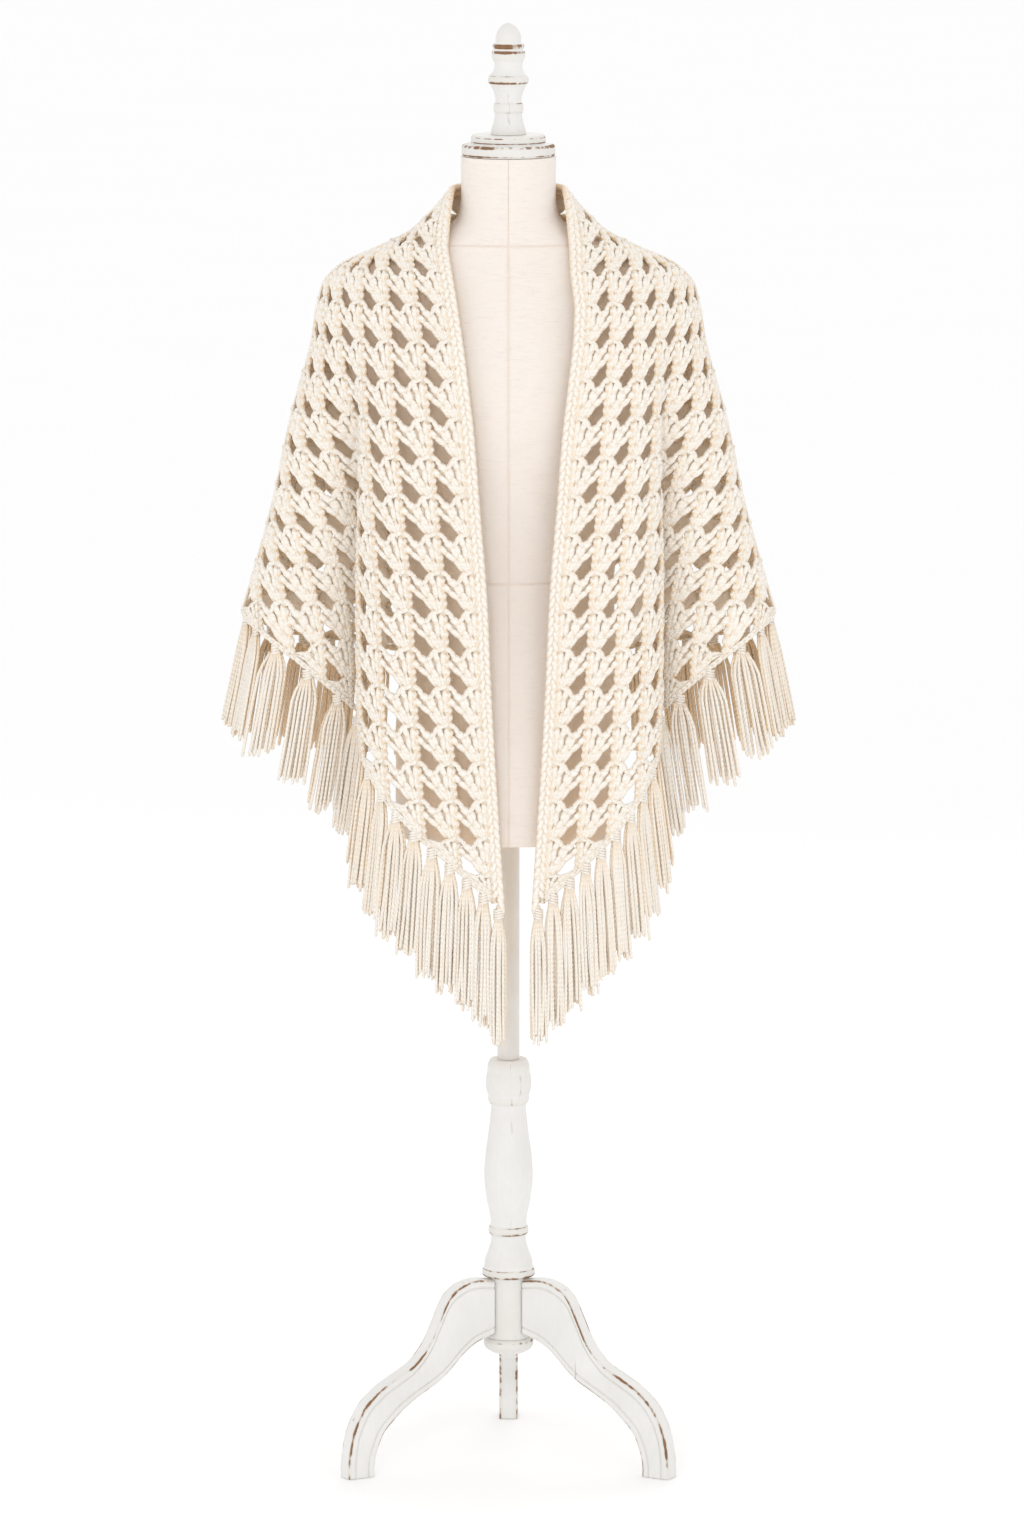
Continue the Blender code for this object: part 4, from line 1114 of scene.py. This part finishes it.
def add_tassel(threads, knots, middle, run, out, length, spread):
    level_out = unit(out * (1, 1, 0))
    run_width = float(np.linalg.norm(run[:2]))
    level_run = unit(run * (1, 1, 0))
    width = min(max(run_width, 15 * MM), TASSEL_PITCH)
    away = unit(middle * (1, 1, 0)) * length * spread
    top = middle + level_out * 0.6 * MM
    knot = top - np.array((0, 0, KNOT_DROP))
    fall = np.array([0.0, 0.04, 0.12, 0.22, 0.36, 0.52, 0.70, 0.86, 0.985, 1.0])
    swell = np.array([0.8, 0.95, 1.0, 1.0, 1.0, 1.0, 1.0, 1.0, 0.95, 0.5])
    order = np.arange(YARNS)
    aside = (order + 0.5) / YARNS - 0.5 + draw.uniform(-0.03, 0.03, YARNS)
    layer = np.where(order % 2 == 0, 1.0, -0.6) + draw.uniform(-0.15, 0.15, YARNS)
    spread_out = 0.48 + 0.55 * smooth_step(0.0, 0.2, fall) + 0.14 * fall
    sway = draw.uniform(-1.0, 1.0, (YARNS, 1)) * 2.2 * MM * np.sin(
        math.pi * fall[None] * draw.uniform(0.6, 1.2, (YARNS, 1)))
    lengths = length * draw.uniform(0.93, 1.05, (YARNS, 1))
    centre = (
        knot
        + (aside[:, None] * width * 0.98 * spread_out[None] + sway)[..., None] * level_run
        + (layer[:, None] * (1.9 * MM + 1.0 * MM * fall[None]))[..., None] * level_out
        + away * fall[None, :, None]
        - (lengths * fall[None])[..., None] * np.array((0, 0, 1.0))
    )
    # Painted shade: the yarns of the back layer and the tops next to the binding are darker.
    deep = np.where(layer < 0, 0.3, draw.uniform(0.0, 0.12, YARNS))[:, None] + 0.3 * (
        1 - smooth_step(0.0, 0.2, fall))
    threads.add(centre, YARN_RADIUS * swell[None], level_out, valleys=deep, sides=5)

    turn = math.tau * np.arange(12) / 12
    for ring in range(4):
        tilt = 1.1 * MM
        height = -2.2 * MM - ring * 3.0 * MM
        circle = (top + np.array((0, 0, height))
                  + np.cos(turn)[:, None] * level_run * 4.6 * MM
                  + np.sin(turn)[:, None] * level_out * 3.4 * MM
                  + np.cos(turn)[:, None] * np.array((0, 0, tilt)))
        away_from = unit(np.cos(turn)[:, None] * level_run + np.sin(turn)[:, None] * level_out)
        # Painted shade on the side of each wrap that faces the cloth.
        knots.add(circle[None], 1.75 * MM, away_from[None], closed=True, sides=5,
                  valleys=0.15 - 0.15 * np.sin(turn))
    bundle = top + np.linspace(3.0 * MM, -KNOT_DROP - 5.0 * MM, 5)[:, None] * np.array((0, 0, 1))
    # Painted shade along the bundle, deepest under the wraps.
    knots.add(bundle[None], np.array([[2.2, 3.2, 3.4, 4.4, 4.2]]) * MM, level_out,
              valleys=np.array([0.2, 0.4, 0.5, 0.5, 0.3]), flat=0.75)


def front_path():
    line = [line[-1] for line in wing_lines[::-1]] + [line[-1] for line in panel_lines[-2::-1]]
    return line + [(hem_height(FRONT_HEM, MM, 0.0), 0.0)]


fringe_pieces = {}
for word, side in SIDES.items():
    for part, path, lengths, spreads in (
        ("front", front_path(), (LENGTH_WING, LENGTH_FRONT), (SPREAD_WING, SPREAD_FRONT)),
        ("back", [line[-1] for line in back_lines], (LENGTH_BACK, LENGTH_WING),
         (SPREAD_BACK, SPREAD_WING)),
    ):
        yarns, knots = Threads(side), Threads(side)
        places = tassel_places(path, side)
        for number, (middle, run, out) in enumerate(places):
            share = (number + 0.5) / len(places)
            add_tassel(yarns, knots, middle, run, out,
                       lengths[0] + (lengths[1] - lengths[0]) * share,
                       spreads[0] + (spreads[1] - spreads[0]) * share)
        key = f"{part}_{word}"
        fringe_pieces[key] = (yarns.piece("fringe_yarns_" + key, fringe_yarn),
                              knots.piece("fringe_knots_" + key, crochet_yarn))
        print("tassels:", key, len(places))

# %% [markdown]
# ## Put the cloth in place of its solids
#
# Each lace piece stands for one imported solid and is a sheet that was worked flat. Each
# piece is attached to the root and its imported solid is hidden. The printed sizes say how
# much of the flat shawl each lace part shows. The band and the fringe belong to the front
# and the back.

for word in SIDES:
    for part, cells in NETS.items():
        ground, stitches = lace_pieces[f"{part}_{word}"]
        for piece in (ground, stitches):
            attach(piece, "root")
            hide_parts(f"{part}_{word}")
        area = round(float(cell_area(cells).sum()), 4)
        print(part, word, "flat area", area)
    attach(bands[word], "root")
    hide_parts("band_" + word)
    for part in ("front", "back"):
        for piece in fringe_pieces[f"{part}_{word}"]:
            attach(piece, "root")
            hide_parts(f"fringe_{part}_{word}")

# %% [markdown]
# ## The padded torso
#
# A dress form's torso is a firm shell under tight linen, so it has no folds, only seams:
# one down the middle, one at each side, one round the base of the neck and one at the
# waist. A lathe can't make it, because it is oval. It is lofted through oval rings, with
# extra rings and columns beside each seam, so that the seam can sink between them.

# %% The torso
Ring = namedtuple("Ring", "z half_width front back")
TORSO = [
    Ring(723.0, 125, 96, 98), Ring(728.0, 127, 98, 100), Ring(790, 127, 98, 101),
    Ring(860, 125, 96, 98), Ring(940, 121, 91, 88), Ring(1020, 119, 88, 80),
    Ring(1100, 132, 96, 86), Ring(1160, 149, 104, 95), Ring(1215, 166, 106, 103),
    Ring(1270, 184, 98, 106), Ring(1312, 196, 84, 101), Ring(1342, 192, 73, 92),
    Ring(1365, 173, 65, 83), Ring(1379.4, 142, 59, 73), Ring(1393, 106, 56, 65),
    Ring(1405, 76, 54, 58), Ring(1417, 60, 53, 55), Ring(1431, 54, 52.5, 53),
    Ring(1455, 52.5, 52, 52.4), Ring(1488.6, 53, 52, 52),
]
TORSO_STEPS = 5
TORSO_SIDES = 96
SEAM_DEPTH = 0.45 * MM
SEAM_ROLL = 0.35 * MM
SEAM_HALF = 1.4 * MM
SEAM_OUTER = 3.2 * MM
UPRIGHT_SEAMS = (0.0, 90.0, 180.0, 270.0)
LEVEL_SEAMS = (1.018, 1.3925)


def oval_loft(name, rings, material, numbers, attribute, closed_top=None, closed_low=None):
    """Rings of equal count joined into a skin, with a number stored at each point."""
    rings = np.asarray(rings, float)
    levels, sides = rings.shape[:2]
    points = rings.reshape(-1, 3)
    number = np.arange(levels * sides).reshape(levels, sides)
    a, b = number[:-1], number[1:]
    faces = np.stack([a, np.roll(a, -1, axis=1), np.roll(b, -1, axis=1), b], axis=-1)
    faces = [tuple(int(c) for c in face) for face in faces.reshape(-1, 4)]
    stored = list(np.broadcast_to(numbers, (levels, sides)).reshape(-1))
    for tip, ring, flip in ((closed_top, number[-1], 1), (closed_low, number[0], -1)):
        if tip is None:
            faces.append(tuple(int(c) for c in ring[::flip]))
            continue
        points = np.vstack([points, tip])
        stored.append(stored[int(ring[0])])
        turned = ring[::flip]
        faces += [(int(p), int(q), len(points) - 1)
                  for p, q in zip(turned, np.roll(turned, -1))]
    points = points + (0.0, AXIS_Y, 0.0)
    mesh = bpy.data.meshes.new(name)
    mesh.from_pydata([tuple(p) for p in points], [], faces)
    mesh.attributes.new(attribute, "FLOAT", "POINT").data.foreach_set("value", stored)
    mesh.shade_smooth()
    mesh.set_sharp_from_angle(angle=math.radians(50))
    mesh.materials.append(material)
    made = bpy.data.objects.new(name, mesh)
    bpy.context.scene.collection.objects.link(made)
    print(name, "faces:", len(faces))
    return made


COVER_FADE = 12.0 * MM


def under_lace(across, z):
    """How far the shawl covers each point of a ring of the torso, from 0 to 1."""
    edge = key_points(z)[0][0]
    middle = OPENING_SHIFT * (1 - smooth_step(*SHIFT_TOP, z))
    behind = across[:, 1] > 0
    under = np.maximum(np.abs(across[:, 0] - middle) - edge, 0.0)
    front_low = np.interp(under / MM, [p.place for p in FRONT_HEM], [p.z for p in FRONT_HEM])
    low = np.where(behind, BACK_HEM[0].z, front_low) * MM
    hidden = np.where(behind, 1.0, np.minimum(under / COVER_FADE, 1.0))
    hidden = hidden * smooth_step(low, low + COVER_FADE, z)
    return hidden * (1 - smooth_step(NECK_Z, NECK_Z + COVER_FADE, z))


def make_torso():
    table = np.array(TORSO, float) * MM
    fine = smooth_curve(table, 2 * table[0] - table[1], 2 * table[-1] - table[-2], TORSO_STEPS)
    heights = list(fine[:, 0])
    for seam in LEVEL_SEAMS:
        heights = [z for z in heights if abs(z - seam) > SEAM_OUTER]
        heights += [seam + way for way in (-SEAM_OUTER, -SEAM_HALF, 0.0, SEAM_HALF, SEAM_OUTER)]
    heights = np.array(sorted(heights))
    widths, fronts, backs = (np.interp(heights, fine[:, 0], fine[:, k]) for k in (1, 2, 3))
    angles = np.arange(TORSO_SIDES) * 360.0 / TORSO_SIDES
    mean = math.degrees(1.0 / 0.12)
    beside = np.array([-SEAM_OUTER, -SEAM_HALF, 0.0, SEAM_HALF, SEAM_OUTER]) * mean
    for seam in UPRIGHT_SEAMS:
        off = np.abs((angles - seam + 180.0) % 360.0 - 180.0)
        angles = np.concatenate([angles[off > 2.0 * beside[-1] / 1.6], seam + beside])
    angles = np.sort(angles % 360.0)
    rings, seam_shades, covered = [], [], []
    for z, wide, front, back in zip(heights, widths, fronts, backs):
        turn = np.radians(angles)
        deep = np.where(np.sin(turn) > 0, back, front)
        across = np.stack([wide * np.cos(turn), deep * np.sin(turn)], axis=1)
        off = [np.abs((angles - seam + 180.0) % 360.0 - 180.0) / mean for seam in UPRIGHT_SEAMS]
        off = np.min(off, axis=0)
        off = np.minimum(off, min(abs(z - seam) for seam in LEVEL_SEAMS))
        dip = np.interp(off, [0.0, SEAM_HALF, SEAM_OUTER, 6 * MM],
                        [-SEAM_DEPTH, SEAM_ROLL, SEAM_ROLL * 0.5, 0.0])
        normal = unit(np.stack([np.cos(turn) * deep, np.sin(turn) * wide], axis=1))
        across = across + normal * dip[:, None]
        rings.append(np.column_stack([across, np.full(len(turn), z)]))
        # Painted shade in each seam's groove.
        seam_shades.append(np.interp(off, [0.0, SEAM_HALF, SEAM_OUTER], [0.4, 0.12, 0.0]))
        covered.append(under_lace(across, z))
    made = oval_loft("linen_torso", rings, linen_cover, np.array(seam_shades), "crease",
                     closed_low=(0.0, 0.0, heights[0]), closed_top=(0.0, 0.0, heights[-1]))
    # The number for the painted bounced light under the shawl.
    number = made.data.attributes.new("covered", "FLOAT", "POINT")
    number.data.foreach_set("value", list(np.array(covered).reshape(-1)) + [0.0, 0.0])
    return made


torso = make_torso()
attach(torso, "root")
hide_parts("torso")

# %% [markdown]
# ## Turned wood
#
# The cap, finial, pole, column and knob come off a lathe, so each is a profile spun round
# the pole's axis. A drawn profile has hard corners, and real turning eases them, so each
# corner is cut twice, which turns the line into a soft curve. Where the curve bends
# outwards most, the paint rubs through first, so that bend is stored as the rim number.

# %% The turned pieces
Turn = namedtuple("Turn", "radius z")
NECK_CAP = [
    Turn(50.5, 1489), Turn(52.3, 1491), Turn(52.3, 1500), Turn(50.0, 1502.5), Turn(41.0, 1503.5),
    Turn(41.7, 1505), Turn(41.7, 1510.5), Turn(40.0, 1513),
]
FINIAL = [
    Turn(19.6, 1513.3), Turn(19.4, 1518), Turn(16.2, 1527), Turn(15.0, 1536), Turn(16.6, 1539),
    Turn(16.6, 1547), Turn(14.2, 1550), Turn(15.4, 1558), Turn(20.0, 1568.5), Turn(22.8, 1571),
    Turn(22.8, 1577), Turn(18.5, 1581), Turn(15.2, 1587), Turn(15.6, 1593), Turn(18.8, 1599),
    Turn(18.8, 1605), Turn(15.8, 1607.5), Turn(17.7, 1610), Turn(17.7, 1613), Turn(14.2, 1615),
    Turn(14.4, 1622), Turn(11.6, 1630), Turn(6.0, 1635.5), Turn(1.0, 1637.5),
]
POLE = [Turn(12.5, 463.3), Turn(12.5, 722.7)]
COLUMN = [
    Turn(24.0, 140.3), Turn(24.0, 210), Turn(28.5, 211.5), Turn(30.2, 214), Turn(30.2, 219),
    Turn(27.4, 222.5), Turn(27.4, 229), Turn(23.5, 240), Turn(19.6, 252), Turn(19.6, 259),
    Turn(22.8, 262), Turn(22.8, 268), Turn(20.2, 271.5), Turn(20.8, 281), Turn(25.2, 300),
    Turn(28.2, 325), Turn(26.8, 350), Turn(22.2, 382), Turn(19.4, 410), Turn(23.4, 414),
    Turn(23.4, 422), Turn(25.0, 426), Turn(26.3, 435), Turn(25.0, 445), Turn(24.0, 449),
    Turn(24.0, 457), Turn(20.5, 463),
]
KNOB = [Turn(9.0, 120), Turn(19.0, 122.5), Turn(27.0, 128), Turn(28.8, 133), Turn(27.5, 138),
        Turn(23.5, 140)]
LATHE_SIDES = 72
CORNER_CUTS = (0.3, 0.25)


def eased(line):
    """The line with each corner cut twice, by a share of the shorter run beside it."""
    for share in CORNER_CUTS:
        runs = np.diff(line, axis=0)
        length = np.linalg.norm(runs, axis=1)
        cut = share * np.minimum(length[:-1], length[1:])
        before = line[1:-1] - runs[:-1] * (cut / length[:-1])[:, None]
        after = line[1:-1] + runs[1:] * (cut / length[1:])[:, None]
        corners = np.stack([before, after], axis=1).reshape(-1, 2)
        line = np.vstack([line[:1], corners, line[-1:]])
    return line


def bend_outwards(line):
    """How sharply each point of a profile bends outwards, from 0 to 1."""
    run = np.diff(line, axis=0)
    heading = np.unwrap(np.arctan2(run[:, 1], run[:, 0]))
    turn = np.diff(heading)
    room = 0.5 * (np.linalg.norm(run[1:], axis=1) + np.linalg.norm(run[:-1], axis=1))
    sharp = np.clip(turn / np.maximum(room, 0.2 * MM) * 5.0 * MM, 0.0, 1.0)
    sharp = np.concatenate([[0.6], sharp, [0.6]])
    wider = np.maximum(sharp, 0.6 * np.maximum(np.roll(sharp, 1), np.roll(sharp, -1)))
    return 0.12 + 0.88 * wider


def make_turned(name, node, profile):
    line = eased(np.array(profile, float) * MM)
    turn = math.tau * np.arange(LATHE_SIDES) / LATHE_SIDES
    rings = [np.column_stack([radius * np.cos(turn), radius * np.sin(turn),
                              np.full(LATHE_SIDES, z)]) for radius, z in line]
    rim = bend_outwards(line)[:, None]
    made = oval_loft(name, rings, white_paint, rim, "rim",
                     closed_top=(0.0, 0.0, line[-1][1]), closed_low=(0.0, 0.0, line[0][1]))
    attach(made, "root")
    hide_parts(node)
    return made


for node, profile in (("neck_cap", NECK_CAP), ("finial", FINIAL), ("pole", POLE),
                      ("column", COLUMN), ("knob", KNOB)):
    make_turned("turned_" + node, node, profile)

# %% [markdown]
# ## Scrolled legs
#
# Each leg is sawn from a plank along an S, with its edges rounded over and a line cut near
# them. The leg is lofted: at each station along the S the same section stands between the
# upper and the lower edge. The cut line is in the section, so it follows both edges.

# %% The legs
Leg = namedtuple("Leg", "top_r top_z low_r low_z")
LEG = [
    Leg(24.4, 209.5, 24.4, 146), Leg(47.2, 212, 47.2, 139), Leg(66.4, 207, 64.5, 127.5),
    Leg(81.9, 195, 80.9, 112), Leg(94.6, 171, 95.5, 100), Leg(107.4, 145, 112, 91),
    Leg(126.5, 124, 128.4, 82), Leg(150.3, 111, 143, 72), Leg(172.1, 99, 156.6, 60),
    Leg(193.1, 80, 168.5, 47), Leg(207.7, 52, 176.7, 28), Leg(213.6, 22, 179.9, 12),
    Leg(214.5, 0, 179.9, 0),
]
LEG_ANGLES = {"leg_front_left": -30.0, "leg_front_right": -150.0, "leg_rear": 90.0}
LEG_HALF = 11.0 * MM
LEG_STEPS = 5
# Distance from the leg's edge, depth below its face and rim number, from the edge inwards
EDGE_SECTION = [
    (0.0, 9.0, 0.1), (0.0, 5.2, 0.15), (0.2, 3.2, 0.8), (0.9, 1.4, 1.0), (2.2, 0.4, 0.9),
    (3.8, 0.0, 0.3), (7.0, 0.0, 0.12), (7.9, 0.25, 0.7), (8.6, 1.5, 0.2), (9.4, 1.5, 0.2),
    (10.1, 0.25, 0.7), (11.0, 0.0, 0.12),
]


def make_leg(name, angle):
    turn = math.radians(angle)
    out = np.array((math.cos(turn), math.sin(turn), 0.0))
    aside = np.array((-math.sin(turn), math.cos(turn), 0.0))
    table = np.array(LEG, float) * MM
    fine = smooth_curve(table, 2 * table[0] - table[1], 2 * table[-1] - table[-2], LEG_STEPS)
    fine[:, [1, 3]] = np.maximum(fine[:, [1, 3]], 0.0)
    section_table = np.array(EDGE_SECTION)
    rings = []
    for top_r, top_z, low_r, low_z in fine:
        top = out * top_r + np.array((0, 0, top_z))
        low = out * low_r + np.array((0, 0, low_z))
        tall = np.linalg.norm(top - low)
        along = (top - low) / tall
        inward = np.minimum(section_table[:, 0] * MM, 0.46 * tall)
        depth = LEG_HALF - section_table[:, 1] * MM
        upper = [top - along * i + aside * d for i, d in zip(inward, depth)]
        lower = [low + along * i + aside * d for i, d in zip(inward[::-1], depth[::-1])]
        face = upper + lower
        other = [low + along * i - aside * d for i, d in zip(inward, depth)]
        other += [top - along * i - aside * d for i, d in zip(inward[::-1], depth[::-1])]
        rings.append(face + other)
    rim = np.concatenate([section_table[:, 2], section_table[::-1, 2]] * 2)
    made = oval_loft("scrolled_" + name, rings, white_paint, rim[None], "rim")
    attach(made, "root")
    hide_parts(name)


for name, angle in LEG_ANGLES.items():
    make_leg(name, angle)

# %% [markdown]
# ## Floor, light and camera
#
# The photograph is a plain studio picture: white all round, soft light from above and in
# front, and only a faint shadow at the feet. A large white floor and a bright sky give
# that. Three broad lamps add some shape, so that the shells stand out from the gaps.

# %% The floor
def floor_finish():
    recipe = Recipe("studio floor")
    cloudy = recipe.noise(1.5, 2.0)
    white = recipe.mix(cloudy, (0.99, 0.99, 0.99, 1.0), (0.98, 0.98, 0.98, 1.0))
    return recipe.surface(white, 0.9 + cloudy * 0.05, cloudy, 0.1 * MM)


bpy.ops.mesh.primitive_plane_add(size=60.0, location=(0.0, 0.0, -0.5 * MM))
floor = bpy.context.object
floor.name = "studio_floor"
floor.data.materials.append(floor_finish())

# %% The light
world = bpy.data.worlds.new("studio")
bpy.context.scene.world = world
world.use_nodes = True
sky = world.node_tree.nodes["Background"]
sky.inputs["Color"].default_value = (1.0, 1.0, 1.0, 1.0)
sky.inputs["Strength"].default_value = 1.0

Lamp = namedtuple("Lamp", "name place aim size power")
LAMPS = [
    Lamp("key", (-0.9, -5.6, 2.3), (0.0, 0.0, 0.95), 0.9, 30.0),
    Lamp("fill", (1.9, -4.4, 1.5), (0.0, 0.0, 0.9), 2.4, 8.0),
    Lamp("back", (0.6, 2.8, 2.9), (0.0, 0.0, 1.1), 1.8, 12.0),
]
for lamp in LAMPS:
    light = bpy.data.lights.new(lamp.name, "AREA")
    light.energy = lamp.power
    light.size = lamp.size
    holder = bpy.data.objects.new(lamp.name, light)
    holder.location = lamp.place
    holder.rotation_euler = (Vector(lamp.aim) - Vector(lamp.place)).to_track_quat(
        "-Z", "Y").to_euler()
    bpy.context.scene.collection.objects.link(holder)
    print("lamp:", lamp.name, lamp.power, "W")
bpy.context.scene.view_settings.view_transform = "Standard"

# %% The camera
CAMERA_PLACE = Vector((0.004, AXIS_Y - 9.0, 2.2))
CAMERA_AIM = Vector((0.004, AXIS_Y, 0.797))
CAMERA_LENS = 188.9
lens = bpy.data.cameras.new("camera")
lens.lens = CAMERA_LENS
lens.sensor_width = 36.0
camera = bpy.data.objects.new("camera", lens)
camera.location = CAMERA_PLACE
camera.rotation_euler = (CAMERA_AIM - CAMERA_PLACE).to_track_quat("-Z", "Y").to_euler()
bpy.context.scene.collection.objects.link(camera)
bpy.context.scene.camera = camera
print("camera:", tuple(round(c, 3) for c in CAMERA_PLACE), CAMERA_LENS, "mm")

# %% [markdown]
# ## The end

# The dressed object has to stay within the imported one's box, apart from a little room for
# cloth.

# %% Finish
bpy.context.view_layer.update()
